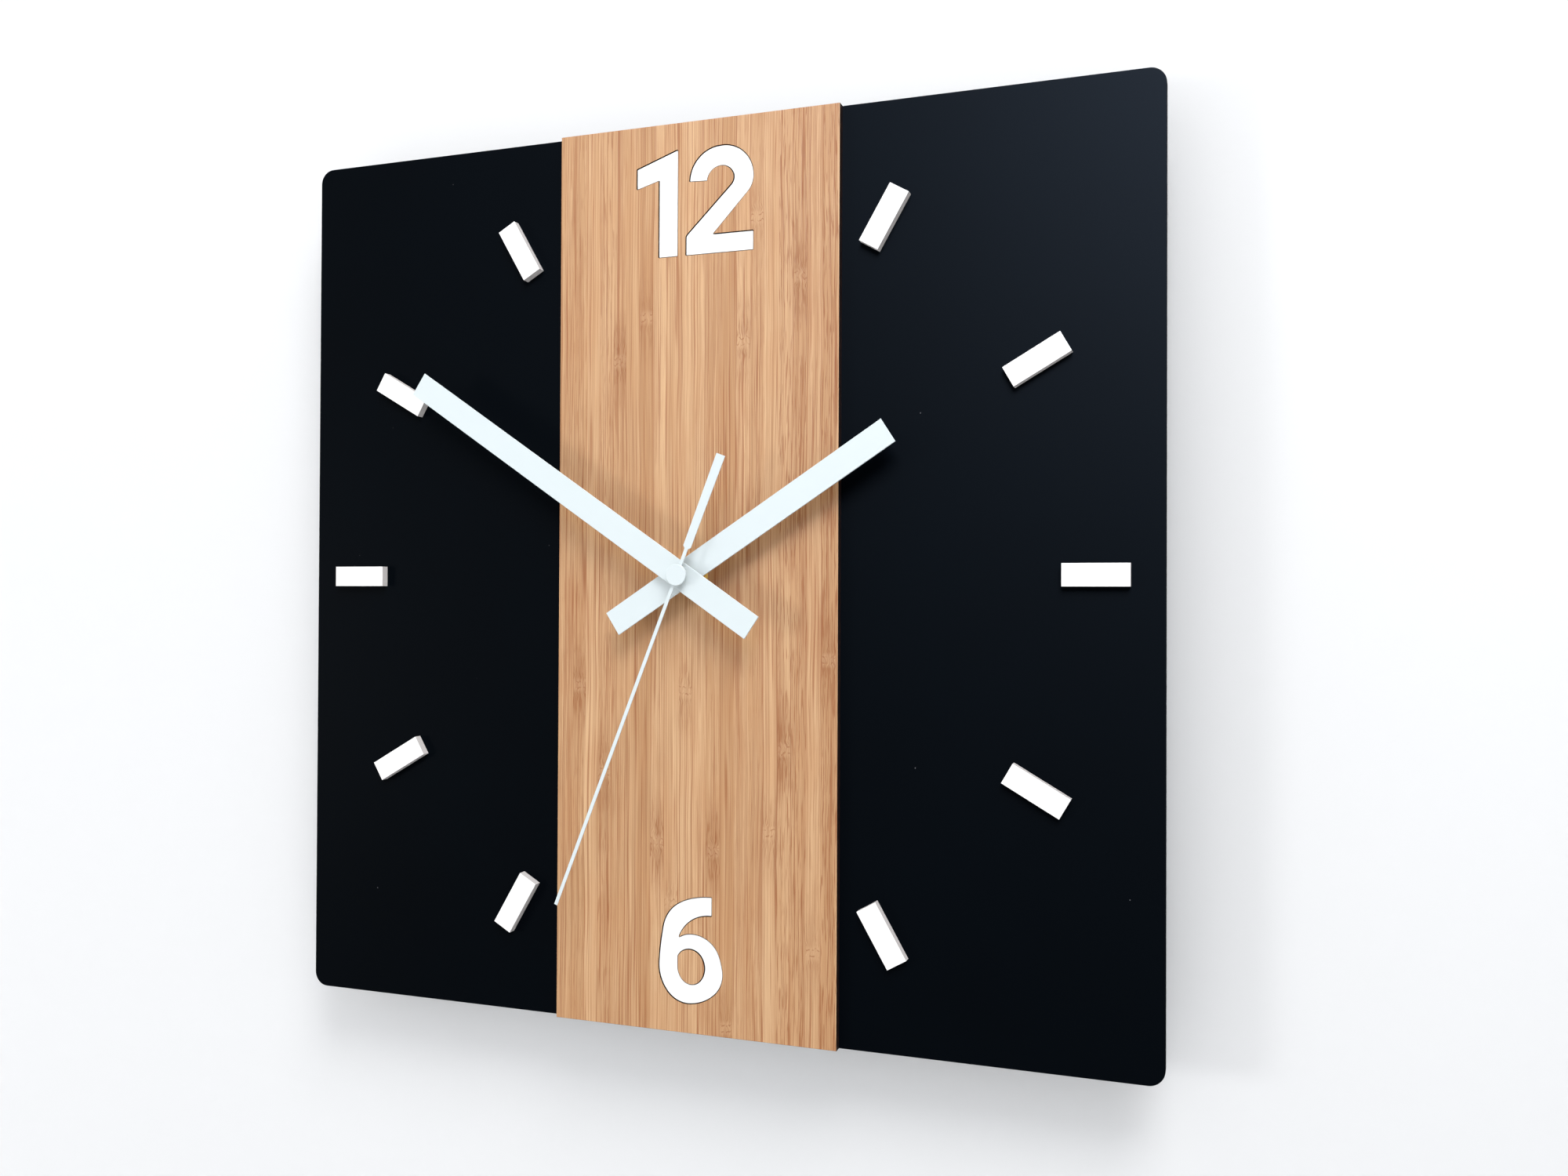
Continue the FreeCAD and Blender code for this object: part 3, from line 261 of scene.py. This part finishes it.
def bamboo():
    """Pressed bamboo slats, with fibres, knuckles and laser-burnt cut edges."""
    g = Graph("bamboo")
    x, y, z = g.place()

    # slats, whose seams sway a little
    sway = g.noise(g.vector(g.times(x, SWAY_ACROSS), 0.0, g.times(z, SWAY_ALONG)), detail=1.0)
    across = g.plus(x, g.times(g.plus(sway, -0.5), SWAY_WIDE))
    in_slats = g.math("DIVIDE", g.plus(across, -SLAT_ORIGIN), SLAT_WIDE)
    slat = g.math("FLOOR", in_slats)
    from_middle = g.math("ABSOLUTE", g.plus(g.math("FRACT", in_slats), -0.5))
    chance = g.random(g.plus(slat, SLAT_SEED))

    knuckle_height, strong, flecked = knuckle_table(g, slat)
    from_knuckle = g.math("SUBTRACT", z, knuckle_height)
    distance = g.math("ABSOLUTE", from_knuckle)
    inside = g.ramp(from_middle, INSIDE_FROM, INSIDE_TO)
    knuckle = g.times(g.ramp(distance, KNUCKLE_OUTER, KNUCKLE_INNER), inside)
    stain = g.times(g.ramp(distance, STAIN_OUTER, STAIN_INNER), strong)
    tick = g.times(knuckle_ticks(g, x, from_knuckle), inside)

    # the fibres weave sideways as they pass a knuckle
    swirl = g.noise(g.vector(g.times(x, WEAVE_ACROSS), 0.0, g.times(z, WEAVE_ALONG)), detail=1.0)
    reach = g.ramp(distance, WEAVE_OUTER, WEAVE_INNER, 0.0, WEAVE_WIDE)
    weave = g.times(g.times(g.plus(swirl, -0.5), reach), inside)
    bent = g.plus(across, weave)

    def stretched(fine, long, seed, detail=1.0):
        where = g.vector(g.times(bent, fine), seed, g.times(z, long))
        return g.noise(where, detail=detail)

    def layer(fine, long, seed, detail, low, high):
        return g.ramp(stretched(fine, long, seed, detail), low, high)

    def threads(fine, long, seed, width, patches):
        """Thin lines along the slat: the contours of a stretched noise, shown in patches."""
        contour = g.math("ABSOLUTE", g.plus(stretched(fine, long, seed), -0.5))
        return g.times(g.ramp(contour, width, 0.0), layer(*patches))

    grain = {name: layer(*numbers) for name, numbers in GRAIN.items()}
    thread = {name: threads(*numbers) for name, numbers in THREADS.items()}
    dashes = g.math("MAXIMUM", g.times(grain["dashes"], flecked),
                    g.times(grain["stained_dashes"], stain))
    seam = g.times(g.ramp(from_middle, SEAM_FROM, SEAM_TO), grain["broken_seam"])

    # layers of colour, each with its share, from the lowest up
    light, middle, deep = (0.61, 0.392, 0.218), (0.460, 0.262, 0.130), (0.265, 0.110, 0.042)
    line_red, ruddy = (0.27, 0.092, 0.032), (0.42, 0.20, 0.085)
    colour = g.mix(g.ramp(chance, 0.0, 1.0), light, middle)
    layers = (
        (grain["broad"], 0.35, middle),
        (thread["pale"], 0.50, light),
        (grain["fibre"], 0.38, deep),
        (grain["fine"], 0.27, deep),
        (grain["mottle"], 0.26, ruddy),
        (g.math("MAXIMUM", thread["lines"], seam), 0.72, line_red),
        (thread["more_lines"], 0.58, line_red),
        (dashes, 0.66, line_red),
        (stain, 0.32, deep),
        (knuckle, 0.22, light),
        (tick, 0.55, line_red))
    for mask, share, tint in layers:
        colour = g.mix(g.times(mask, share), colour, tint)

    # cut faces are burnt
    burnt, charred = (0.010, 0.005, 0.004), (0.040, 0.015, 0.008)
    char = g.noise(g.vector(g.times(x, 0.6), g.times(y, 1.5), g.times(z, 0.6)), detail=3.0)
    edge = g.mix(g.ramp(char, 0.45, 0.80), burnt, charred)
    g.set(Base_Color=g.mix(g.cut_side(), colour, edge), Specular_IOR_Level=0.06)
    g.set(Roughness=g.plus(0.52, g.times(grain["fibre"], 0.12)))

    # grooves of the grain, as shares of the deepest
    groove = g.plus(g.times(thread["lines"], -0.6),
                    g.plus(g.times(grain["fibre"], -0.25), g.times(dashes, -0.5)))
    g.bump(g.plus(groove, g.times(tick, -0.8)), distance_mm=0.10, strength=0.7)
    return g.material


# ---------------------------------------------------------------- dial board, inlays and hands
BACK_IN, BACK_OUT = 0.2, 0.05  # millimetres before the board's back, where its dull look begins


def panel_black():
    """Satin black board with a very fine tooth and a little dust; its back is dull and scuffed."""
    g = Graph("panel_black")
    x, y, z = g.place()
    where = g.vector(x, y, z)
    ink, ink_cloud, dust_grey = (0.0001, 0.0005, 0.0011), (0.0002, 0.0011, 0.0022), (0.45, 0.46, 0.50)
    tooth = g.noise(where, scale=3.0, detail=3.0, rough=0.7)
    cloud = g.noise(where, scale=0.02, detail=3.0)
    dusty = g.ramp(g.noise(where, scale=0.05), 0.45, 0.6)
    dust = g.times(g.specks(where, scale=0.09, size=0.022), dusty)
    lint = g.specks(g.vector(g.times(x, 0.3), y, z), scale=0.045, size=0.012)
    marks = g.math("MAXIMUM", dust, lint)
    front = g.mix(g.times(marks, 0.25), g.mix(cloud, ink, ink_cloud), dust_grey)

    dull_dark, dull_light = (0.008, 0.008, 0.009), (0.020, 0.019, 0.018)
    scuff_grey = (0.075, 0.070, 0.065)
    behind = g.ramp(y, BOARD_MM - BACK_IN, BOARD_MM - BACK_OUT)
    weave = g.noise(where, scale=0.9, detail=5.0, rough=0.8)
    rubbed = g.vector(g.times(x, 0.5), y, g.times(z, 0.04))
    scuff = g.ramp(g.noise(rubbed, scale=0.25, detail=6.0, rough=0.75), 0.58, 0.75)
    back = g.mix(g.times(scuff, 0.35), g.mix(weave, dull_dark, dull_light), scuff_grey)

    g.set(Base_Color=g.mix(behind, front, back), Specular_IOR_Level=0.015)
    g.set(Roughness=g.plus(g.ramp(tooth, 0.2, 0.8, 0.44, 0.54), g.times(behind, 0.25)))
    height = g.plus(tooth, g.times(g.times(weave, behind), 4.0))
    g.bump(height, distance_mm=0.012, strength=0.5)
    return g.material


def white_sheet(name, face, side, rough):
    """White sheet: clean face, laser-cut sides a little warmer and striped by the beam."""
    g = Graph(name)
    x, y, z = g.place()
    where = g.vector(x, y, z)
    beam = g.noise(g.vector(g.times(x, 4.0), g.times(y, 0.3), g.times(z, 4.0)), detail=2.0)
    scorched = (side[0] * 0.8, side[1] * 0.77, side[2] * 0.72)
    soil = g.ramp(g.noise(where, scale=0.25, detail=4.0, rough=0.6), 0.45, 0.85)
    clean = g.mix(g.times(soil, 0.05), face, side)
    walls = g.mix(g.times(beam, 0.35), side, scorched)
    haze = g.noise(where, scale=1.2, detail=3.0)
    g.set(Base_Color=g.mix(g.cut_side(), clean, walls), Specular_IOR_Level=0.12)
    g.set(Roughness=g.ramp(haze, 0.2, 0.8, rough, rough + 0.12))
    g.bump(g.noise(where, scale=0.9, detail=4.0, rough=0.6), distance_mm=0.02, strength=0.35)
    return g.material


def hand_white():
    """Cool white satin paint on thin sheet, with faint orange peel and handling marks."""
    g = Graph("hand_white")
    x, y, z = g.place()
    where = g.vector(x, y, z)
    paint, handled = (0.59, 0.652, 0.668), (0.51, 0.56, 0.57)
    peel = g.noise(where, scale=2.2, detail=3.0, rough=0.6)
    wear = g.ramp(g.noise(where, scale=0.12, detail=5.0, rough=0.7), 0.55, 0.85)
    g.set(Base_Color=g.mix(g.times(wear, 0.15), paint, handled))
    g.set(Roughness=g.ramp(peel, 0.2, 0.8, 0.34, 0.46), Specular_IOR_Level=0.10)
    g.bump(peel, distance_mm=0.012, strength=0.4)
    return g.material


# ---------------------------------------------------------------- metals
def turned_metal(name, light, dark, rough, rings, metallic):
    """Metal turned about the shaft: fine concentric tool marks and slight tarnish."""
    g = Graph(name)
    x, y, z = g.place()
    radius = g.math("SQRT", g.plus(g.times(x, x), g.times(z, z)))
    marks = g.noise(g.vector(g.times(radius, rings), g.times(y, rings), 0.0), detail=3.0)
    tarnish = g.noise(g.vector(x, y, z), scale=0.35, detail=4.0, rough=0.6)
    g.set(Base_Color=g.mix(g.ramp(tarnish, 0.35, 0.75), light, dark), Metallic=metallic)
    g.set(Roughness=g.ramp(marks, 0.3, 0.7, rough, rough + 0.16))
    g.bump(marks, distance_mm=0.02, strength=0.4)
    return g.material


def sheet_metal(name, light, dark, rough, along):
    """Rolled sheet with a fine grain along one axis and a little staining."""
    g = Graph(name)
    x, y, z = g.place()
    waves = [6.0, 6.0, 6.0]
    waves[along] = 0.25
    grain = g.noise(g.vector(*[g.times(v, wave) for v, wave in zip((x, y, z), waves)]), detail=3.0)
    stain = g.noise(g.vector(x, y, z), scale=0.15, detail=5.0, rough=0.65)
    g.set(Base_Color=g.mix(g.ramp(stain, 0.4, 0.8), light, dark), Metallic=1.0)
    g.set(Roughness=g.plus(g.ramp(grain, 0.3, 0.7, rough, rough + 0.14), g.times(stain, 0.08)))
    g.bump(grain, distance_mm=0.015, strength=0.5)
    return g.material


def spangled_zinc():
    """Zinc plating: faint crystal patches over rolled steel."""
    g = Graph("zinc")
    x, y, z = g.place()
    dark, light = (0.52, 0.54, 0.57), (0.66, 0.67, 0.69)
    cells = g.add("ShaderNodeTexVoronoi")
    g.put(cells.inputs["Vector"], g.vector(x, y, z))
    g.put(cells.inputs["Scale"], 0.45)
    shade = g.add("ShaderNodeSeparateXYZ")
    g.put(shade.inputs[0], cells.outputs["Color"])
    scratch = g.noise(g.vector(g.times(x, 5.0), y, g.times(z, 0.3)), detail=3.0)
    g.set(Base_Color=g.mix(shade.outputs[0], dark, light), Metallic=1.0)
    g.set(Roughness=g.plus(g.ramp(shade.outputs[1], 0.0, 1.0, 0.30, 0.44), g.times(scratch, 0.06)))
    g.bump(scratch, distance_mm=0.012, strength=0.5)
    return g.material


def magnet_wire():
    """Turns of enamelled copper side by side along the coil; the colour darkens into painted shade in
    the grooves between the turns.
    """
    g = Graph("magnet_wire")
    x, y, z = g.place()
    painted_shade_between_turns, crown = (0.30, 0.09, 0.03), (0.72, 0.33, 0.16)
    uneven = g.times(g.noise(g.vector(x, y, z), scale=0.3), 0.2)
    turns = g.math("SINE", g.times(g.plus(x, uneven), 40.0))
    # the colour darkens from each turn's crown into the groove beside it: painted shade where the round
    # wires meet
    g.set(Base_Color=g.mix(g.ramp(turns, -1.0, 1.0), painted_shade_between_turns, crown))
    g.set(Metallic=0.85, Roughness=g.ramp(turns, -1.0, 1.0, 0.45, 0.28), Coat_Weight=0.3)
    g.bump(turns, distance_mm=0.03, strength=0.8)
    return g.material


# ---------------------------------------------------------------- plastics and others
def moulded(name, light, dark, rough, grain_scale, grain_deep):
    """Moulded plastic: fine spark-eroded texture and slight colour drift."""
    g = Graph(name)
    x, y, z = g.place()
    where = g.vector(x, y, z)
    grain = g.noise(where, scale=grain_scale, detail=4.0, rough=0.75)
    drift = g.noise(where, scale=0.06, detail=4.0, rough=0.6)
    g.set(Base_Color=g.mix(g.ramp(drift, 0.35, 0.7), light, dark), Specular_IOR_Level=0.45)
    g.set(Roughness=g.plus(g.ramp(grain, 0.2, 0.8, rough, rough + 0.14), g.times(drift, 0.06)))
    g.bump(grain, distance_mm=grain_deep, strength=0.6)
    return g.material


TRACK_PITCH = 2.4             # millimetres between the circuit board's tracks


def circuit_green():
    """Solder mask over copper tracks on a grid, which break off here and there."""
    g = Graph("circuit_green")
    x, y, z = g.place()
    mask, over_copper = (0.010, 0.075, 0.028), (0.035, 0.19, 0.075)
    in_pitches = [g.math("FRACT", g.math("DIVIDE", v, TRACK_PITCH)) for v in (x, z)]
    grid = [g.math("ABSOLUTE", g.plus(v, -0.5)) for v in in_pitches]
    tracks = g.math("MAXIMUM", *[g.ramp(v, 0.40, 0.44) for v in grid])
    kept = g.ramp(g.noise(g.vector(x, 0.0, z), scale=0.22), 0.45, 0.5)
    haze = g.noise(g.vector(x, y, z), scale=2.0, detail=3.0)
    g.set(Base_Color=g.mix(g.times(tracks, kept), mask, over_copper))
    g.set(Roughness=g.ramp(haze, 0.3, 0.7, 0.28, 0.40), Coat_Weight=0.3)
    g.bump(g.times(tracks, kept), distance_mm=0.03, strength=0.6)
    return g.material


def ferrite():
    """Sintered magnet: a matt grey grit."""
    g = Graph("ferrite")
    x, y, z = g.place()
    dark, light = (0.035, 0.035, 0.040), (0.085, 0.083, 0.085)
    grit = g.noise(g.vector(x, y, z), scale=3.0, detail=5.0, rough=0.8)
    g.set(Base_Color=g.mix(grit, dark, light))
    g.set(Roughness=g.ramp(grit, 0.3, 0.7, 0.55, 0.75))
    g.bump(grit, distance_mm=0.06, strength=0.7)
    return g.material


# the cell's print, in millimetres along it
NUB_LONG = 1.3
SLEEVE_IN, SLEEVE_OUT = 0.7, 0.5          # from the body's ends to the sleeve
BAND_TO, BAND_FROM = 12.9, 13.0           # from the body's end at the nub
STRIPE_AT, STRIPE_OUTER, STRIPE_INNER = 14.2, 0.45, 0.35


def cell_jacket():
    """Plain cell: nickel ends, a white sleeve, a blue band at the nub and a stripe beside it."""
    g = Graph("cell_jacket")
    x, y, z = g.place()
    white, blue, worn = (0.62, 0.64, 0.66), (0.018, 0.085, 0.26), (0.35, 0.36, 0.38)
    nickel_dark, nickel_light = (0.55, 0.54, 0.51), (0.68, 0.67, 0.64)
    left, right = [(v - DIAL.x) / MM for v in (cell_low.x, cell_high.x)]
    body_right = right - NUB_LONG
    sleeve = g.times(g.ramp(x, left + SLEEVE_OUT, left + SLEEVE_IN),
                     g.ramp(x, body_right - SLEEVE_OUT, body_right - SLEEVE_IN))
    band = g.ramp(x, body_right - BAND_FROM, body_right - BAND_TO)
    from_stripe = g.math("ABSOLUTE", g.plus(x, STRIPE_AT - body_right))
    stripe = g.ramp(from_stripe, STRIPE_OUTER, STRIPE_INNER)
    rubbed = g.vector(g.times(x, 0.4), y, z)
    scuff = g.ramp(g.noise(rubbed, scale=0.8, detail=5.0, rough=0.7), 0.62, 0.80)
    printed = g.mix(band, white, blue)
    printed = g.mix(stripe, printed, blue)
    printed = g.mix(g.times(scuff, 0.3), printed, worn)
    nickel = g.mix(g.noise(g.vector(x, y, z), scale=0.8, detail=4.0), nickel_dark, nickel_light)
    haze = g.noise(g.vector(x, y, z), scale=1.5, detail=3.0)
    g.set(Base_Color=g.mix(sleeve, nickel, printed), Metallic=g.math("SUBTRACT", 1.0, sleeve))
    g.set(Roughness=g.ramp(haze, 0.2, 0.8, 0.24, 0.36), Coat_Weight=0.25)
    g.bump(scuff, distance_mm=0.02, strength=0.4)
    return g.material


# light and dark colour, roughness, and the waves per millimetre and depth of the grain
PLASTICS = {
    "rubber": ((0.018, 0.018, 0.019), (0.030, 0.029, 0.028), 0.62, 2.5, 0.05),
    "gear_plastic": ((0.78, 0.76, 0.69), (0.70, 0.67, 0.58), 0.36, 1.2, 0.01),
    "knob_plastic": ((0.045, 0.046, 0.050), (0.070, 0.070, 0.074), 0.38, 1.4, 0.02),
    "case_plastic": ((0.020, 0.020, 0.022), (0.032, 0.032, 0.034), 0.42, 1.8, 0.04),
    "frame_plastic": ((0.07, 0.15, 0.30), (0.10, 0.20, 0.36), 0.38, 1.3, 0.015),
    "chip_black": ((0.012, 0.012, 0.013), (0.022, 0.022, 0.022), 0.22, 0.5, 0.01),
    "capacitor": ((0.42, 0.29, 0.16), (0.34, 0.22, 0.11), 0.40, 2.0, 0.01),
}

# light and dark colour, roughness, and the axis that the sheet was rolled along
SHEET_METALS = {
    "steel": ((0.60, 0.61, 0.63), (0.48, 0.49, 0.51), 0.22, 1),
    "soft_iron": ((0.47, 0.47, 0.48), (0.36, 0.35, 0.35), 0.34, 0),
    "contact_metal": ((0.70, 0.68, 0.63), (0.56, 0.54, 0.49), 0.24, 2),
}

# face and side colour, and roughness
WHITE_SHEETS = {
    "numeral_white": ((0.86, 0.865, 0.87), (0.55, 0.50, 0.45), 0.30),
    "marker_white": ((0.87, 0.87, 0.865), (0.70, 0.67, 0.66), 0.28),
}

MATERIALS = {
    "panel_black": panel_black(),
    "bamboo": bamboo(),
    "hand_white": hand_white(),
    "brass": turned_metal("brass", (1.0, 0.76, 0.26), (0.90, 0.62, 0.18), rough=0.26, rings=9.0,
                          metallic=0.55),
    "ferrite": ferrite(),
    "copper": magnet_wire(),
    "board_green": circuit_green(),
    "battery_jacket": cell_jacket(),
    "hanger_steel": spangled_zinc(),
}
MATERIALS.update({name: moulded(name, *look) for name, look in PLASTICS.items()})
MATERIALS.update({name: sheet_metal(name, *look) for name, look in SHEET_METALS.items()})
MATERIALS.update({name: white_sheet(name, *look) for name, look in WHITE_SHEETS.items()})


def dress_nodes():
    """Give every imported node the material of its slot."""
    for part in frame["record"]["subparts"]:
        piece = NODES[part["node"]]
        piece.data.materials.clear()
        piece.data.materials.append(MATERIALS[part["material_slot"]])


# ---------------------------------------------------------------- mouldings on the case's back
# in millimetres and degrees, from the dial's centre where nothing else is said
LINE_WIDE, LINE_HIGH = 0.7, 0.3
LINE_FOOT = 0.05              # how deep a moulding starts inside the case
ARROW_RADIUS = 7.8            # of each arrow's arc, round the setting knob
ARROW_STARTS, ARROW_SWEEP, ARROW_STEPS = (25.0, 205.0), 110.0, 22
ARROW_HEAD = ((6.4, 0.0), (9.2, 0.0), (ARROW_RADIUS, 16.0))    # radius, and turn past the arc
MARK_ARM = 1.7                # half the length of the plus and minus marks
MARK_OUT = 21.5               # to either side of the shaft
MARK_ABOVE_CELL = 9.9
LABEL_LEFT, LABEL_RIGHT, LABEL_LOW, LABEL_HIGH = 1.5, 24.0, -5.5, 14.5
LABEL_CORNER, LABEL_LINE, LABEL_RISE, CORNER_STEPS = 2.0, 0.5, 0.2, 6
EDGE_SOFT, EDGE_STEPS, WELD = 0.10, 2, 0.005


def relief(name, faces, high):
    """Raised moulding on the case's back; faces are lists of (x, z) in millimetres."""
    build = bmesh.new()
    foot = hanger_low.y - LINE_FOOT * MM
    for face in faces:
        build.faces.new([build.verts.new((DIAL.x + x * MM, foot, DIAL.z + z * MM)) for x, z in face])
    bmesh.ops.remove_doubles(build, verts=build.verts, dist=WELD * MM)
    grown = bmesh.ops.extrude_face_region(build, geom=build.faces[:])["geom"]
    raised = [v for v in grown if isinstance(v, bmesh.types.BMVert)]
    bmesh.ops.translate(build, verts=raised, vec=(0, (high + LINE_FOOT) * MM, 0))
    bmesh.ops.recalc_face_normals(build, faces=build.faces)
    mesh = bpy.data.meshes.new(name)
    build.to_mesh(mesh)
    build.free()
    mesh.materials.append(MATERIALS["case_plastic"])
    piece = bpy.data.objects.new(name, mesh)
    bpy.context.collection.objects.link(piece)
    soft = piece.modifiers.new("soft_edges", "BEVEL")
    soft.width, soft.segments, soft.limit_method = EDGE_SOFT * MM, EDGE_STEPS, "ANGLE"
    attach(piece, "case")


def stroke(points, wide, closed=False):
    """Faces of a line of one width along (x, z) points."""
    count = len(points)
    sides = []
    for i, point in enumerate(points):
        before = points[i - 1] if closed or i else point
        after = points[(i + 1) % count] if closed or i < count - 1 else point
        along = (Vector(after) - Vector(before)).normalized()
        across = Vector((-along.y, along.x)) * wide / 2
        sides.append((Vector(point) - across, Vector(point) + across))
    pairs = zip(sides, sides[1:] + sides[:1]) if closed else zip(sides, sides[1:])
    return [[a, c, d, b] for (a, b), (c, d) in pairs]


def arc(centre, radius, start, end, steps):
    turns = [math.radians(start + (end - start) * k / steps) for k in range(steps + 1)]
    return [(centre[0] + radius * math.cos(t), centre[1] + radius * math.sin(t)) for t in turns]


def from_dial(low, high):
    """The middle of a box as (x, z) in millimetres from the dial's centre."""
    middle = (low + high) / 2 - DIAL
    return middle.x / MM, middle.z / MM


def make_mouldings():
    knob = from_dial(knob_low, knob_high)
    for number, start in enumerate(ARROW_STARTS):
        end = start + ARROW_SWEEP
        curve = arc(knob, ARROW_RADIUS, start, end, ARROW_STEPS)
        head = [arc(knob, r, end + turn, end + turn, 1)[0] for r, turn in ARROW_HEAD]
        relief("turn_arrow_%d" % (number + 1), stroke(curve, LINE_WIDE) + [head], LINE_HIGH)

    _, cell_z = from_dial(cell_low, cell_high)
    mark_z, arm, half = cell_z + MARK_ABOVE_CELL, MARK_ARM, LINE_WIDE / 2
    plus = [(half, arm), (half, half), (arm, half), (arm, -half), (half, -half), (half, -arm)]
    plus += [(-x, -z) for x, z in plus]
    minus = [(-arm, -half), (arm, -half), (arm, half), (-arm, half)]
    relief("mark_plus", [[(x + MARK_OUT, z + mark_z) for x, z in plus]], LINE_HIGH)
    relief("mark_minus", [[(x - MARK_OUT, z + mark_z) for x, z in minus]], LINE_HIGH)

    left, right = LABEL_LEFT + LABEL_CORNER, LABEL_RIGHT - LABEL_CORNER
    low, high = LABEL_LOW + LABEL_CORNER, LABEL_HIGH - LABEL_CORNER
    border = []
    for x, z, start in ((right, high, 0), (left, high, 90), (left, low, 180), (right, low, 270)):
        border += arc((x, z), LABEL_CORNER, start, start + 90, CORNER_STEPS)
    relief("blank_label_frame", stroke(border, LABEL_LINE, closed=True), LABEL_RISE)


# ---------------------------------------------------------------- camera, floor and light
CAMERA_FROM_DIAL = Vector((166.1, -392.2, -8.0)) * MM
CAMERA_YAW, CAMERA_PITCH, CAMERA_ROLL = 18.94, 0.551, 0.252
FOCAL_WIDTHS = 0.8187         # focal length over the picture's width
SENSOR = 36.0
CLIP_NEAR, CLIP_FAR = 0.01, 50.0

# the stage, in metres
FLOOR_BELOW = 0.55            # from the dial's lower edge down to the floor
FLOOR_HALF, WALL_HALF, WALL_TOP = 6.0, 2.0, 1.5
FLOOR_COLOUR, WALL_COLOUR = (0.58, 0.583, 0.588), (0.695, 0.70, 0.707)
SKY_COLOUR, SKY_STRENGTH = (0.985, 0.99, 1.0, 1.0), 0.985

# place and aim from the dial's centre, size, watts and colour of each lamp
WHITE = (1.0, 1.0, 1.0)
LAMPS = {
    "left_soft": ((-1.3, -1.0, -0.10), (0, 0, 0), 0.36, 7.0, WHITE),
    "top_soft": ((0.35, -0.60, 0.85), (0, 0, -0.05), 0.6, 9.5, WHITE),
    "sheen_only": ((0.45, -1.35, 0.95), (0.1, 0, 0.1), 0.9, 310.0, (0.56, 0.72, 1.0)),
    "back_soft": ((-0.9, 1.1, 0.9), (0, 0, 0), 0.7, 14.0, WHITE),
}


def make_camera():
    data = bpy.data.cameras.new("camera")
    data.sensor_width = SENSOR
    data.lens = SENSOR * FOCAL_WIDTHS
    data.clip_start, data.clip_end = CLIP_NEAR, CLIP_FAR
    camera = bpy.data.objects.new("camera", data)
    bpy.context.collection.objects.link(camera)
    turn = (Matrix.Rotation(math.radians(CAMERA_YAW), 4, "Z")
            @ Matrix.Rotation(math.radians(90 + CAMERA_PITCH), 4, "X")
            @ Matrix.Rotation(math.radians(CAMERA_ROLL), 4, "Z"))
    camera.matrix_world = Matrix.Translation(DIAL + CAMERA_FROM_DIAL) @ turn
    bpy.context.scene.camera = camera


def plane(name, corners, material):
    mesh = bpy.data.meshes.new(name)
    mesh.from_pydata([Vector(c) for c in corners], [], [tuple(range(len(corners)))])
    mesh.materials.append(material)
    piece = bpy.data.objects.new(name, mesh)
    bpy.context.collection.objects.link(piece)
    return piece


def softbox(name, place, aim, size, watts, colour):
    data = bpy.data.lights.new(name, "AREA")
    data.shape, data.size, data.energy, data.color = "DISK", size, watts, colour
    lamp = bpy.data.objects.new(name, data)
    bpy.context.collection.objects.link(lamp)
    lamp.location = DIAL + Vector(place)
    lamp.rotation_euler = (Vector(aim) - Vector(place)).to_track_quat("-Z", "Y").to_euler()
    lamp.visible_camera = False
    return lamp


def make_stage():
    pale = Graph("floor_pale")
    pale.set(Base_Color=FLOOR_COLOUR, Roughness=0.9, Specular_IOR_Level=0.1)
    floor_z = panel_low.z - FLOOR_BELOW
    corners = ((-1, -1), (1, -1), (1, 1), (-1, 1))
    plane("floor", [(x * FLOOR_HALF, y * FLOOR_HALF, floor_z) for x, y in corners], pale.material)

    # the wall shows its front only, so that the clock's back can be looked at through it
    paint = Graph("wall_pale")
    paint.set(Base_Color=WALL_COLOUR, Roughness=0.9, Specular_IOR_Level=0.05)
    both = paint.add("ShaderNodeMixShader")
    paint.put(both.inputs[0], paint.add("ShaderNodeNewGeometry").outputs["Backfacing"])
    paint.put(both.inputs[1], paint.shader.outputs[0])
    paint.put(both.inputs[2], paint.add("ShaderNodeBsdfTransparent").outputs[0])
    paint.put(paint.output.inputs["Surface"], both.outputs[0])
    sides = ((-1, floor_z), (1, floor_z), (1, WALL_TOP), (-1, WALL_TOP))
    wall = plane("wall", [(x * WALL_HALF, WALL_Y, z) for x, z in sides], paint.material)
    for ray in ("diffuse", "glossy", "transmission", "shadow"):
        setattr(wall, "visible_" + ray, False)

    world = bpy.data.worlds.new("studio")
    world.use_nodes = True
    sky = world.node_tree.nodes["Background"]
    sky.inputs[0].default_value = SKY_COLOUR
    sky.inputs[1].default_value = SKY_STRENGTH
    bpy.context.scene.world = world

    lamps = {name: softbox(name, *settings) for name, settings in LAMPS.items()}
    lamps["top_soft"].visible_glossy = False
    lamps["sheen_only"].visible_diffuse = False


dress_nodes()
make_mouldings()
make_camera()
make_stage()
bpy.context.scene.view_settings.view_transform = "Standard"
